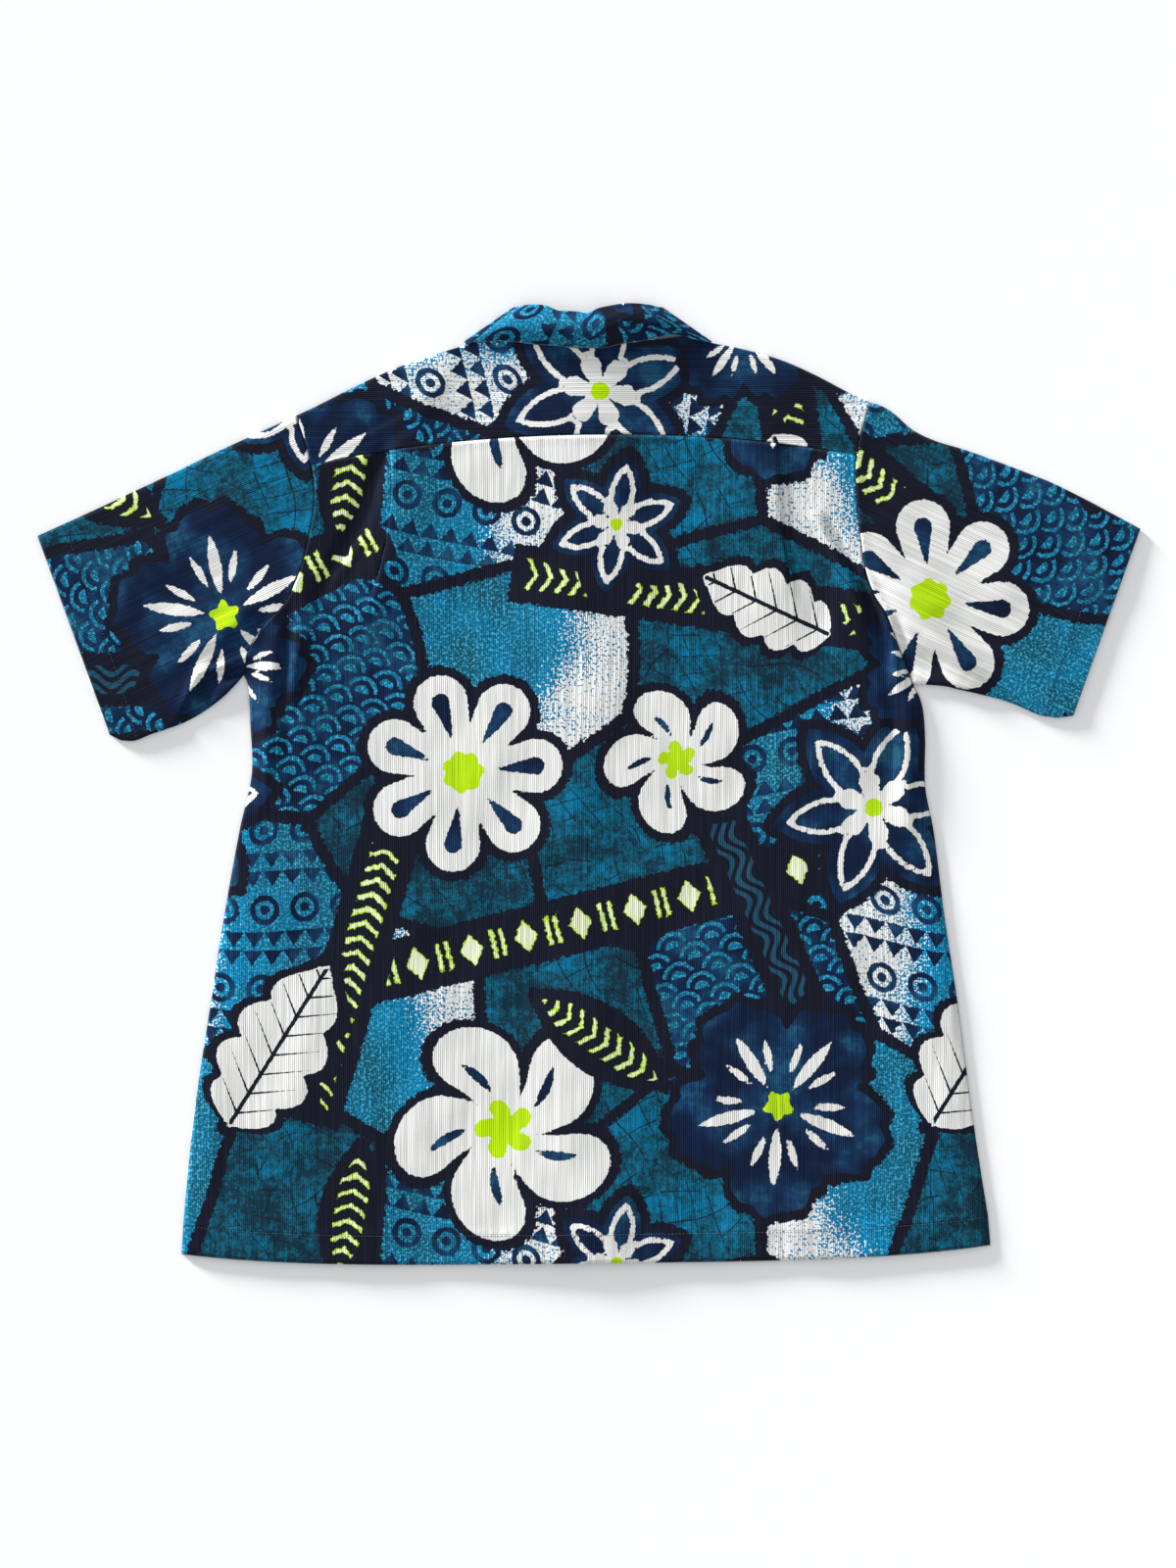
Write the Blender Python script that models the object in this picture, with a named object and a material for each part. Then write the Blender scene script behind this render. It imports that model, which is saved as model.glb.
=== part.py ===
"""Short-sleeved aloha shirt with a camp collar, lying flat on its front with its back up.

+X runs to the wearer's right, +Y from hem to collar, +Z up from the surface that it lies on.
The tables are in millimetres on the surface. A cloth panel is a grid of points in the middle
of its wall, and every seam's two panels take the same points, moved apart by SEAM_GAP.
"""

import math

import bpy
from mathutils import Vector

MM = 0.001

# Cloth, in millimetres
CLOTH = 1.0  # wall of one layer
HEM_CLOTH = 1.5  # wall where a hem is turned up
SEAM_GAP = 0.4  # between two panels that are sewn together
LAYER = 1.4  # from one layer to the next where they are stacked
REST = CLOTH / 2  # middle of a layer that lies on the surface
TOP = 4.2  # middle of the upper layer over the body
CUFF_TOP = 2.9  # the same at the sleeves' ends
LEAST_GAP = 1.4  # between the middles of the lower and the upper layer
EDGE_TOP = 1.9  # middle of the upper layer where it meets the lower one at a side seam
EDGE_ROUNDING = 12.0  # how far in from a side seam the upper layer has come up

# Buttons and front
BUTTON_RADIUS = 6.5
BUTTON_THICK = 1.8
BUTTON_RIM = 1.3
BUTTON_DISH = 0.5
BUTTON_HOLE = 0.85
BUTTON_HOLE_SPREAD = 1.7
BUTTON_SIDES = 20
BUTTON_HOLE_SIDES = 6
BUTTONS = 6
TOP_BUTTON_Y = 232.0
BUTTON_SPACING = 95.0
PLACKET_HALF = 15.0  # each front runs this far past the centre line
PLACKET_LIFT = 2.1  # the fronts lie on the buttons and on the collar's leaves
PLACKET_FLAT, PLACKET_RAMP = 20.0, 24.0
LIFT_END = -350.0  # below this the fronts lie on the surface, under the lowest button
OVERLAP_LIFT = 1.9  # the right front lies on the left one
CROWN, CROWN_WIDTH = 2.8, 55.0  # of the back over the two fronts' edges

# Hems, each turned up to the inside
HEM_HEIGHT = 24.0  # also the last step of each side's table
HEM_STEP = 1.5  # over which a hem's wall thins out
CUFF_HEM = 24.0
FRONT_HEM_BOW = 4.0
FRONT_HEM_RISE = 6.0  # of the fronts' hem above the back's

# Body outline from the underarm to the hem, and each armhole from the shoulder to the underarm
HEM_BOW = -11.5
YOKE_BOW = 21.0
LEFT_SIDE = ((-289, 92), (-285, 81), (-284, 58), (-282, 12), (-293, -41), (-307.5, -123),
             (-320, -205), (-332, -287), (-340, -371), (-341.5, -395))
RIGHT_SIDE = ((273, 84), (280, 68), (283, 45), (283, 0), (290.5, -41), (301, -123),
              (313.5, -205), (324, -287), (336, -363.5), (338, -387.5))
LEFT_ARMHOLE = ((-245, 309), (-238, 289), (-232, 268), (-229.5, 240), (-234, 210),
                (-241, 182), (-255, 151), (-281, 122), (-289, 92))
RIGHT_ARMHOLE = ((237, 320), (230.5, 299), (225, 276), (225.5, 240), (229, 205),
                 (236, 168), (250, 143), (261, 114), (273, 84))
YOKE_STEPS = 3  # of an armhole, from the shoulder to the yoke's seam
ARMHOLE_STEPS = 9  # from the yoke's seam to the underarm
SIDE_SHARES = (0.0, 0.035, 0.08, 0.15, 0.24, 0.34, 0.44, 0.54, 0.64, 0.74, 0.82)  # of the body's rows
EDGE_SHARES = (0.0, 0.008, 0.022, 0.05, 0.08)  # of the back's columns outside the pleats
MIDDLE_COLUMNS = 12
FRONT_EDGE_COLUMNS = (0.0, 15.0, 33.0, 60.0)  # in from a front's edge
FRONT_COLUMNS = 8

# Back pleats: the middle of the back lies over its sides, below the yoke's seam
PLEAT_PLACE = 0.144  # of the back's width, in from each side
PLEAT_DEPTH, PLEAT_LEAST = 12.0, 2.6
PLEAT_LENGTH, PLEAT_STEEP, PLEAT_FADE = 80.0, 95.0, 90.0  # folded, a steep step, opening out
PLEAT_REACH = 13.0
PLEAT_CURL = 1.0
PLEAT_OPEN = (1.0, 30.0)  # width of the step that a pleat opens into, at its top and its end
PLEAT_SPREAD = 45.0  # how far the middle of the back stays lifted beside a pleat

# Neck, left half. The right half is its mirror image.
NECK_SIDE = (-80.0, 376.0)  # on the fold of the shoulder
NECK_BACK_Y = 372.0
FRONT_NECK = ((-80, 376), (-74, 362), (-66.5, 347.5), (-55, 323), (-41, 298), (-26, 272), (-12, 251))
YOKE_FRONT_POINT = 2  # of FRONT_NECK
YOKE_SHARES = (0.0, 0.13, 0.3, 0.5, 0.7, 0.87, 1.0)  # of a yoke's column, from the neck
YOKE_END = 0.12  # share of the back neckline before the yoke's seam begins
YOKE_BACK_STEPS = 20
YOKE_PLEAT_FADE = 40.0  # how far up the yoke the pleats lift it
SHOULDER_OUT = (0.39, 0.92)  # direction out of the right shoulder's fold
SHOULDER_BULGE = {-1: 5.5, 1: 8.5}  # of each shoulder's fold, past a straight line
NECK_TOP_Y = 247.0  # of the fronts' edges
LEAF_LINE = ((20, 262), (78, 372))  # the lifted cloth over each collar leaf, on the right
LEAF_REACH, LEAF_RAMP = 56.0, 24.0

# Collar, left half: fold line and free edge from the crease at the neck's side
CREASE_FOLD = (-60.0, 397.0)
CREASE_FREE = (-103.0, 370.5)
LEAF_FOLD = ((-60, 397), (-44, 362), (-29, 325), (-17, 291), (-7, 262))
LEAF_FREE = ((-103, 370.5), (-104, 346), (-101, 322), (-95, 299), (-88, 276))
BACK_FOLD = (  # share across the back, y and height of the fold line
    (0.0, 399.0, 6.2), (0.1, 402.5, 8.5), (0.2, 401.0, 11.0), (0.3, 396.5, 12.5), (0.4, 396.0, 13.0),
    (0.5, 394.5, 13.0), (0.6, 399.5, 13.0), (0.7, 402.0, 12.5), (0.8, 403.0, 11.0), (0.9, 402.5, 8.5),
    (1.0, 399.0, 6.2),
)
BACK_FREE = (  # share across the back, y and height above the yoke of the fall's free edge
    (0.0, 370.5, 1.7), (0.15, 372.0, 1.7), (0.3, 369.0, 1.6), (0.45, 366.5, 1.5), (0.55, 366.0, 1.5),
    (0.7, 371.5, 1.6), (0.85, 377.5, 1.7), (1.0, 370.5, 1.7),
)
FALL_BULGE = 6.5
COLLAR_HALF_FOLD, COLLAR_CURL = 1.1, 2.4  # half the height of the collar's fold, and its depth
CREASE_OUT = (0.0, 0.3, 0.6, 1.7, 2.8, 2.4, 1.8, 1.2)  # how far out the crease lies, neck to free edge
CREASE_OUTWARD = (-0.62, 0.78)
LEAF_STEPS = (1.0, 0.8, 0.6, 0.4, 0.2, 0.06)
COLLAR_BACK_STEPS = 14

# Sleeves: fold along the top and fold under the arm, from armhole to cuff
LEFT_TOP = ((-277, 294.5), (-313, 278), (-347, 261.5), (-380, 246), (-414, 230), (-462.5, 208))
LEFT_UNDER = ((-304, 76), (-322, 62), (-342, 51), (-364, 43.5), (-386, 36), (-402, 42))
RIGHT_TOP = ((252, 314.5), (279, 293), (316, 280.5), (361, 264), (402, 247), (464, 214))
RIGHT_UNDER = ((297, 83), (313, 79.5), (335, 74.5), (356, 68.5), (386, 56.5), (408, 58))
SLEEVE_LENGTH = 235.0
SLEEVE_STEPS = 11
FOLD_ANGLES = (45, 0, -45)  # of the points round a fold

# Largest folds of the upper layer: a ridge or trough from one point to another
FOLDS = (  # x0, y0, x1, y1, half width, height
    (-172, 262, -214, 150, 13, -1.6),
    (-150, 240, -196, 120, 20, 1.8),
    (-262, 150, -266, 20, 10, 4.2),
    (-238, 170, -244, 10, 11, 3.0),
    (-251, 140, -253, 30, 6, -2.2),
    (-270, 160, -318, 116, 12, 4.0),
    (-312, 99, -338, 54, 7, -3.6),
    (-284, 99, -314, 99, 6, -3.2),
    (196, 214, 236, 182, 7, -1.8),
    (236, 184, 252, 96, 8, -2.4),
    (214, 190, 232, 60, 14, 2.6),
    (268, 84, 268, -40, 10, 3.0),
    (248, 166, 322, 92, 15, 5.0),
    (266, 112, 300, 92, 9, -3.0),
    (-330, 235, -400, 120, 26, 1.2),
    (330, 225, 400, 120, 26, 1.2),
    (-120, 60, -190, -330, 40, 1.1),
    (110, 40, 160, -320, 44, 1.1),
)

CLOTH_COLOUR = (0.035, 0.13, 0.2)
BUTTON_COLOUR = (0.55, 0.44, 0.3)


# ---------- curves and levels ----------

def mix(a, b, share):
    return a + (b - a) * share


def ease(share):
    """0 to 1 with level ends."""
    share = min(max(share, 0.0), 1.0)
    return share * share * (3 - 2 * share)


def spline(points, share):
    """The point at this share, 0 to 1, of a smooth curve through evenly counted points."""
    points = [Vector(p) for p in points]
    place = min(max(share, 0.0), 1.0) * (len(points) - 1)
    i = min(int(place), len(points) - 2)
    t = place - i
    start, end = points[i], points[i + 1]
    before = points[i - 1] if i > 0 else start * 2 - end
    after = points[i + 2] if i + 2 < len(points) else end * 2 - start
    leave, arrive = (end - before) / 2, (after - start) / 2
    return (start * (2 * t**3 - 3 * t**2 + 1) + leave * (t**3 - 2 * t**2 + t)
            + end * (3 * t**2 - 2 * t**3) + arrive * (t**3 - t**2))


def table_at(rows, share):
    """A table's columns after its first, read between its rows at this share."""
    for low, high in zip(rows, rows[1:]):
        if share <= high[0]:
            part = ease((share - low[0]) / (high[0] - low[0]))
            return [mix(a, b, part) for a, b in zip(low[1:], high[1:])]
    return list(rows[-1][1:])


def mirrored(points):
    return tuple((-x, y) for x, y in points)


def off_line(x, y, x0, y0, x1, y1):
    """(distance to the segment, share along it) of a point."""
    along = Vector((x1 - x0, y1 - y0))
    share = ((x - x0) * along.x + (y - y0) * along.y) / along.length_squared
    share = min(max(share, 0.0), 1.0)
    return math.hypot(x - x0 - along.x * share, y - y0 - along.y * share), share


def lifted(x, y):
    """1 where the fronts lie on the buttons or a collar leaf, 0 where they lie on the surface."""
    leaf, _ = off_line(abs(x), y, *LEAF_LINE[0], *LEAF_LINE[1])
    on_leaf = 1 - ease((leaf - LEAF_REACH) / LEAF_RAMP)
    in_height = (1 - ease((y - NECK_TOP_Y - LEAF_REACH) / LEAF_RAMP)) * ease((y - LIFT_END) / LEAF_REACH)
    on_buttons = (1 - ease((abs(x) - PLACKET_FLAT) / PLACKET_RAMP)) * in_height
    return max(on_leaf, on_buttons)


def low_level(x, y):
    """Middle of the layer that lies lowest: the fronts, the yoke's front and the sleeves' fronts."""
    return REST + PLACKET_LIFT * lifted(x, y)


def top_level(x, y):
    """Middle of the upper layer, with its folds."""
    level = mix(TOP, CUFF_TOP, ease((abs(x) - 240) / 200))
    level += CROWN * math.exp(-((x / CROWN_WIDTH) ** 2))
    for x0, y0, x1, y1, width, height in FOLDS:
        away, share = off_line(x, y, x0, y0, x1, y1)
        level += height * math.exp(-((away / width) ** 2)) * math.sin(math.pi * mix(0.12, 0.88, share))
    return max(level, low_level(x, y) + LEAST_GAP)


# ---------- walls ----------

def grid_normals(grid, closed):
    """A unit normal for each point of a grid, from the points beside it."""
    rows, columns = len(grid), len(grid[0])
    normals = []
    for r in range(rows):
        line = []
        for c in range(columns):
            left, right = (c - 1) % columns if closed else max(c - 1, 0), (c + 1) % columns
            if not closed:
                right = min(c + 1, columns - 1)
            parts = Vector((0, 0, 0))
            for low, high in ((max(r - 1, 0), r), (r, min(r + 1, rows - 1))):
                for before, after in ((left, c), (c, right)):
                    across = grid[r][after] - grid[r][before]
                    up = grid[high][c] - grid[low][c]
                    parts += across.cross(up).normalized()
            line.append(parts.normalized())
        normals.append(line)
    return normals


def wall(name, grid, material, thick=None, closed=False):
    """One closed cloth wall round a grid of its middle points, in rows. Its face side is where
    columns cross rows anticlockwise. thick(r, c) is its thickness, added on the other side."""
    rows, columns = len(grid), len(grid[0])
    normals = grid_normals(grid, closed)
    face, back = [], []
    for r in range(rows):
        for c in range(columns):
            inward = (thick(r, c) if thick else CLOTH) - CLOTH / 2
            face.append(grid[r][c] + normals[r][c] * CLOTH / 2)
            back.append(grid[r][c] - normals[r][c] * inward)
    count = rows * columns
    quads = []
    for r in range(rows - 1):
        for c in range(columns if closed else columns - 1):
            a, b = r * columns + c, r * columns + (c + 1) % columns
            d, e = a + columns, b + columns
            quads.append((a, b, e, d))
            quads.append((count + a, count + d, count + e, count + b))
    for c in range(columns if closed else columns - 1):
        a, b = c, (c + 1) % columns
        quads.append((b, a, count + a, count + b))
        d, e = (rows - 1) * columns + a, (rows - 1) * columns + b
        quads.append((d, e, count + e, count + d))
    if not closed:
        for r in range(rows - 1):
            a, d = r * columns, (r + 1) * columns
            quads.append((a, d, count + d, count + a))
            b, e = a + columns - 1, d + columns - 1
            quads.append((e, b, count + b, count + e))
    mesh = bpy.data.meshes.new(name)
    mesh.from_pydata([p * MM for p in face + back], [], quads)
    mesh.shade_smooth()
    mesh.set_sharp_from_angle(angle=math.radians(40))
    mesh.materials.append(material)
    made = bpy.data.objects.new(name, mesh)
    bpy.context.scene.collection.objects.link(made)
    return made


def around_fold(point, outward, low, high):
    """Points round a fold from its upper layer, at height high, to its lower one. The fold
    reaches out to this point of the outline."""
    radius = (high - low) / 2
    points = []
    for angle in FOLD_ANGLES:
        turn = math.radians(angle)
        place = Vector(point) + Vector(outward) * radius * (math.cos(turn) - 1)
        points.append(Vector((*place, low + radius + radius * math.sin(turn))))
    return points


# ---------- body ----------

def edge_rows():
    """Left and right edge points of the body's rows, from the hem up to the yoke's seam."""
    last_step = 1 / (len(LEFT_SIDE) - 1)
    above_hem = last_step * (1 + HEM_STEP / HEM_HEIGHT)
    shares = [1.0, 1 - last_step, 1 - above_hem, *reversed(SIDE_SHARES)]
    rows = [(spline(LEFT_SIDE, s), spline(RIGHT_SIDE, s)) for s in shares]
    first = (YOKE_STEPS - 1) / (len(LEFT_ARMHOLE) - 1)
    for step in range(ARMHOLE_STEPS - 1, -1, -1):
        share = mix(first, 1, step / ARMHOLE_STEPS)
        rows.append((spline(LEFT_ARMHOLE, share), spline(RIGHT_ARMHOLE, share)))
    return rows


def shoulder_points(armhole):
    """An armhole's points from the shoulder's fold to the yoke's seam."""
    last = (YOKE_STEPS - 1) / (len(armhole) - 1)
    return [spline(armhole, last * i / YOKE_STEPS) for i in range(YOKE_STEPS + 1)]


def row_point(left, right, share, height):
    """A point of a body row, bowed like the hem at height 0 and like the yoke's seam at 1."""
    x, y = mix(left.x, right.x, share), mix(left.y, right.y, share)
    off_centre = abs(2 * share - 1)
    y += HEM_BOW * (1 - off_centre**4) * (1 - height) ** 2
    y += YOKE_BOW * (1 - off_centre**2.2) * height**2
    return x, y


def pleat_section(drop):
    """(across, up) of a pleat's eight columns, this far below the yoke's seam. Across is
    measured from the visible edge, and is negative towards the middle of the back."""
    if drop <= PLEAT_LENGTH:
        depth = mix(PLEAT_DEPTH, PLEAT_LEAST, drop / PLEAT_LENGTH)
        return ((-PLEAT_REACH, 2 * LAYER), (-PLEAT_CURL, 2 * LAYER), (0, 1.5 * LAYER),
                (-PLEAT_CURL, LAYER), (PLEAT_CURL - depth, LAYER), (-depth, 0.5 * LAYER),
                (PLEAT_CURL - depth, 0), (PLEAT_REACH, 0))
    width = mix(*PLEAT_OPEN, ease((drop - PLEAT_STEEP) / PLEAT_FADE))
    height = 2 * LAYER * pleat_strength(drop)
    slope = [(width * (k / 5 - 0.5), height * (1 - ease(k / 5))) for k in range(6)]
    reach = max(PLEAT_REACH, width / 2 + PLEAT_CURL)
    return ((-reach, height), *slope, (reach, 0))


def pleat_strength(drop):
    return 1 - ease((drop - PLEAT_STEEP) / PLEAT_FADE)


def pleat_lift(away, drop):
    """How far the middle of the back is lifted, this far from a pleat's edge."""
    return 2 * LAYER * pleat_strength(drop) * math.exp(-((max(away - PLEAT_REACH, 0) / PLEAT_SPREAD) ** 2))


def back_columns():
    """The back's columns: shares of its width, and (side, k) for the columns of a pleat."""
    first = PLEAT_PLACE + EDGE_SHARES[3]
    middle = [mix(first, 1 - first, i / MIDDLE_COLUMNS) for i in range(MIDDLE_COLUMNS + 1)]
    left = [(-1, k) for k in range(7, -1, -1)]
    right = [(1, k) for k in range(8)]
    return [*EDGE_SHARES, *left, *middle, *right, *(1 - s for s in reversed(EDGE_SHARES))]


def back_grid():
    """The back, from the hem up, its pleats folded under the yoke's seam."""
    rows = edge_rows()
    armhole_row = len(rows) - ARMHOLE_STEPS - 1
    grid = []
    for r, (left, right) in enumerate(rows):
        height = ((left.y + right.y) - (rows[0][0].y + rows[0][1].y)) / (
            (rows[-1][0].y + rows[-1][1].y) - (rows[0][0].y + rows[0][1].y))
        side_seam = 1 - ease((r - armhole_row + 1) / 2)
        pleats = {side: row_point(left, right, 0.5 + side * (0.5 - PLEAT_PLACE), height) for side in (-1, 1)}
        tops = {side: row_point(*rows[-1], 0.5 + side * (0.5 - PLEAT_PLACE), 1)[1] for side in (-1, 1)}
        drops = {side: tops[side] - pleats[side][1] for side in (-1, 1)}
        line = []
        for column in back_columns():
            if isinstance(column, tuple):
                side, k = column
                across, up = pleat_section(drops[side])[k]
                x = pleats[side][0] + side * across
                y = row_point(left, right, (x - left.x) / (right.x - left.x), height)[1]
                z = top_level(x, y) + up
            else:
                x, y = row_point(left, right, column, height)
                z = top_level(x, y)
                if pleats[-1][0] < x < pleats[1][0]:
                    z += sum(pleat_lift(abs(x - pleats[s][0]), drops[s]) for s in (-1, 1))
                from_edge = min(x - left.x, right.x - x)
                low = EDGE_TOP + low_level(x, y) - REST + 2 * (hem_thick(r - 1, 0) - CLOTH)
                rounded = math.sqrt(ease(from_edge / EDGE_ROUNDING))
                z = mix(z, mix(low, z, rounded), side_seam)
            line.append(Vector((x, y, z)))
        grid.append(line)
    return grid


def hem_thick(r, _):
    """The first two rows above the hem's edge are the turned-up hem."""
    return HEM_CLOTH if r < 2 else CLOTH


def front_edge(step):
    """Inner end of the left front's row, this many armhole steps below the yoke's seam."""
    neck = FRONT_NECK[YOKE_FRONT_POINT:]
    if step < len(neck):
        return Vector(neck[step])
    below = (step - len(neck)) / (ARMHOLE_STEPS - len(neck))
    return Vector((PLACKET_HALF, mix(NECK_TOP_Y, LEFT_SIDE[0][1], below)))


def front_grid(side):
    """A front's wall, side -1 for the wearer's left, which is the outer one, and 1 for the right."""
    rows = edge_rows()
    grid = []
    for r, edges in enumerate(rows):
        outer = edges[0 if side < 0 else 1]
        step = len(rows) - 1 - r
        if step <= ARMHOLE_STEPS:
            inner = front_edge(step)
        else:
            underarm = LEFT_SIDE[0][1]
            down = (underarm - edges[0].y) / (underarm - LEFT_SIDE[-1][1])
            inner = Vector((PLACKET_HALF, mix(underarm, LEFT_SIDE[-1][1] + HEM_BOW + FRONT_HEM_RISE, down)))
        inner = Vector((inner.x * -side, inner.y))
        line = []
        shares = front_shares((outer - inner).length)
        for share in shares if side < 0 else reversed(shares):
            place = inner + (outer - inner) * share
            z = low_level(*place)
            if side > 0:
                past = ease((place.x - PLACKET_FLAT) / PLACKET_RAMP)
                z += OVERLAP_LIFT * (1 - past)
            line.append(Vector((place.x, place.y - hem_sag(share, r), z)))
        grid.append(line)
    return grid


def hem_sag(share, r):
    """The hem's bow between a front's inner edge and its side."""
    return FRONT_HEM_BOW * math.sin(math.pi * share) if r < 3 else 0.0


def front_shares(length):
    """Shares of a front's row for its columns, the first ones at set distances from its edge."""
    placket = [distance / length for distance in FRONT_EDGE_COLUMNS]
    return placket + [mix(placket[-1], 1, i / FRONT_COLUMNS) for i in range(1, FRONT_COLUMNS + 1)]


# ---------- yoke ----------

def yoke_grid():
    """The yoke from its front seam on the left, over the back, to its front seam on the right.
    Each column runs from the neck to the armhole or the seam."""
    left, right = shoulder_points(LEFT_ARMHOLE), shoulder_points(RIGHT_ARMHOLE)
    return yoke_side(left, -1) + yoke_back(left[-1], right[-1]) + yoke_side(right, 1)[::-1]


def yoke_column(inner, outer, level):
    """Points from neck to outer edge, at this level."""
    places = [Vector(inner).lerp(Vector(outer), s) for s in YOKE_SHARES]
    return [Vector((p.x, p.y, level(p.x, p.y))) for p in places]


def yoke_top(x, y):
    """The upper layer's level, lifted near the seam where the back's pleats end in it."""
    level = top_level(x, y)
    for side, edge in ((-1, row_point(*edge_rows()[-1], PLEAT_PLACE, 1)),
                       (1, row_point(*edge_rows()[-1], 1 - PLEAT_PLACE, 1))):
        inward = (edge[0] - x) * side
        over, beside = max(inward, 0) / PLEAT_SPREAD, max(y - edge[1], 0) / YOKE_PLEAT_FADE
        near = ease((inward + PLEAT_REACH) / (2 * PLEAT_REACH))
        level += 2 * LAYER * near * math.exp(-(over**2) - beside**2)
    return level


def yoke_side(armhole, side):
    """Columns from a front seam round the shoulder's fold to the yoke's corner on the back."""
    neck = FRONT_NECK if side < 0 else mirrored(FRONT_NECK)
    shoulder_out = Vector((SHOULDER_OUT[0] * side, SHOULDER_OUT[1]))
    columns = []
    for i in range(YOKE_STEPS, 0, -1):
        gap = shoulder_out * (SEAM_GAP if i == YOKE_STEPS else 0)
        inner = spline(neck[:YOKE_FRONT_POINT + 1], i / YOKE_STEPS) + gap
        columns.append(yoke_column(inner, armhole[i] + gap, low_level))
    rounds = []
    for share in YOKE_SHARES:
        outward = shoulder_out.lerp((armhole[0] - armhole[1]).normalized(), share)
        bulge = SHOULDER_BULGE[side] * math.sin(math.pi * share) ** 1.5
        place = Vector(neck[0]).lerp(armhole[0], share) + outward * bulge
        rounds.append(around_fold(place, outward.normalized(), low_level(*place), yoke_top(*place)))
    for k in reversed(range(len(FOLD_ANGLES))):
        columns.append([points[k] for points in rounds])
    for i in range(1, YOKE_STEPS):
        inner = neck_back(YOKE_END * i / YOKE_STEPS, side)
        columns.append(yoke_column(inner, armhole[i], yoke_top))
    return columns


def neck_back(share, side=-1):
    """A point of the back neckline, from its side at share 0 to the other side at share 1."""
    x = mix(NECK_SIDE[0], -NECK_SIDE[0], share) * -side
    return Vector((x, NECK_BACK_Y + (NECK_SIDE[1] - NECK_BACK_Y) * (2 * share - 1) ** 4))


def yoke_back(left, right):
    """Columns over the back, which end in its seam."""
    columns = []
    for i in range(YOKE_BACK_STEPS + 1):
        share = i / YOKE_BACK_STEPS
        x, y = row_point(left, right, share, 1)
        inner = neck_back(mix(YOKE_END, 1 - YOKE_END, share))
        columns.append(yoke_column(inner, Vector((x, y + SEAM_GAP)), yoke_top))
    return columns


# ---------- collar ----------

def collar_rows(neck, fold, free, over, bulge=0.0):
    """A collar section from neck seam to free edge: the stand, its fold and the fall, which lies
    over the stand where over is 1 and under it where over is -1."""
    across = (fold - neck).normalized()
    half = Vector((0, 0, over * COLLAR_HALF_FOLD))
    stand = [neck, neck.lerp(fold, 0.5), fold - across * COLLAR_CURL - half]
    fall = [fold - across * COLLAR_CURL + half]
    for share in (0.3, 0.65, 1.0):
        point = fall[0].lerp(free, share)
        fall.append(point + Vector((0, 0, bulge * math.sin(math.pi * share))))
    return [*stand, fold, *fall]


def collar_back_section(share):
    """The collar's section across the back, from the left crease to the right one."""
    fold_y, fold_z = table_at(BACK_FOLD, share)
    free_y, free_rise = table_at(BACK_FREE, share)
    inner = neck_back(share)
    at_side = max(1 - 8 * min(share, 1 - share), 0)
    inward = Vector((math.copysign(at_side, 0.5 - share), 1 - 0.6 * at_side)).normalized()
    neck = Vector((*(inner + inward * SEAM_GAP), top_level(*inner)))
    fold = Vector((mix(CREASE_FOLD[0], -CREASE_FOLD[0], share), fold_y, fold_z))
    free_x = mix(CREASE_FREE[0], -CREASE_FREE[0], share)
    free = Vector((free_x, free_y, top_level(free_x, free_y) + free_rise))
    return collar_rows(neck, fold, free, 1, FALL_BULGE * math.sin(math.pi * share) ** 0.6)


def collar_leaf_section(share):
    """The left leaf's section, from the crease at share 0 to the leaf's front edge."""
    inner, fold, free = (spline(points, share) for points in (FRONT_NECK, LEAF_FOLD, LEAF_FREE))
    neck = Vector((inner.x + SEAM_GAP, inner.y + SEAM_GAP * 0.4, low_level(*inner)))
    return collar_rows(neck, Vector((*fold, REST + COLLAR_HALF_FOLD)), Vector((*free, REST)), -1)


def collar_grid():
    """The collar from its left leaf's front edge, round the neck, to the right one's."""
    leaf = [collar_leaf_section(s) for s in LEAF_STEPS]
    back = [collar_back_section(i / COLLAR_BACK_STEPS) for i in range(COLLAR_BACK_STEPS + 1)]
    under = collar_leaf_section(0.0)
    crease = []
    for low, high, out in zip(under, back[0], CREASE_OUT):
        outward = Vector((-SHOULDER_OUT[0], SHOULDER_OUT[1])).lerp(Vector(CREASE_OUTWARD), min(out, 1))
        place = Vector((high.x, high.y)) + outward * out
        crease.append(around_fold(place, outward, low.z, high.z))
    left = leaf + [[points[k] for points in crease] for k in reversed(range(len(FOLD_ANGLES)))]
    right = [[Vector((-p.x, p.y, p.z)) for p in section] for section in reversed(left)]
    return left + back[1:-1] + right


# ---------- sleeves ----------

def out_of_line(points, side):
    """Directions square to a line of points that runs down a side of the body, out of the body."""
    directions = []
    for i in range(len(points)):
        along = points[min(i + 1, len(points) - 1)] - points[max(i - 1, 0)]
        directions.append(Vector((-along.y, along.x)).normalized() * side)
    return directions


def armhole_seam(side):
    """A sleeve's seam from the shoulder to the underarm, just outside its armhole."""
    rows = edge_rows()[-ARMHOLE_STEPS - 1:-1]
    armhole = shoulder_points(LEFT_ARMHOLE if side < 0 else RIGHT_ARMHOLE)
    armhole += [row[0 if side < 0 else 1] for row in reversed(rows)]
    return [p + out * SEAM_GAP for p, out in zip(armhole, out_of_line(armhole, side))]


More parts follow.
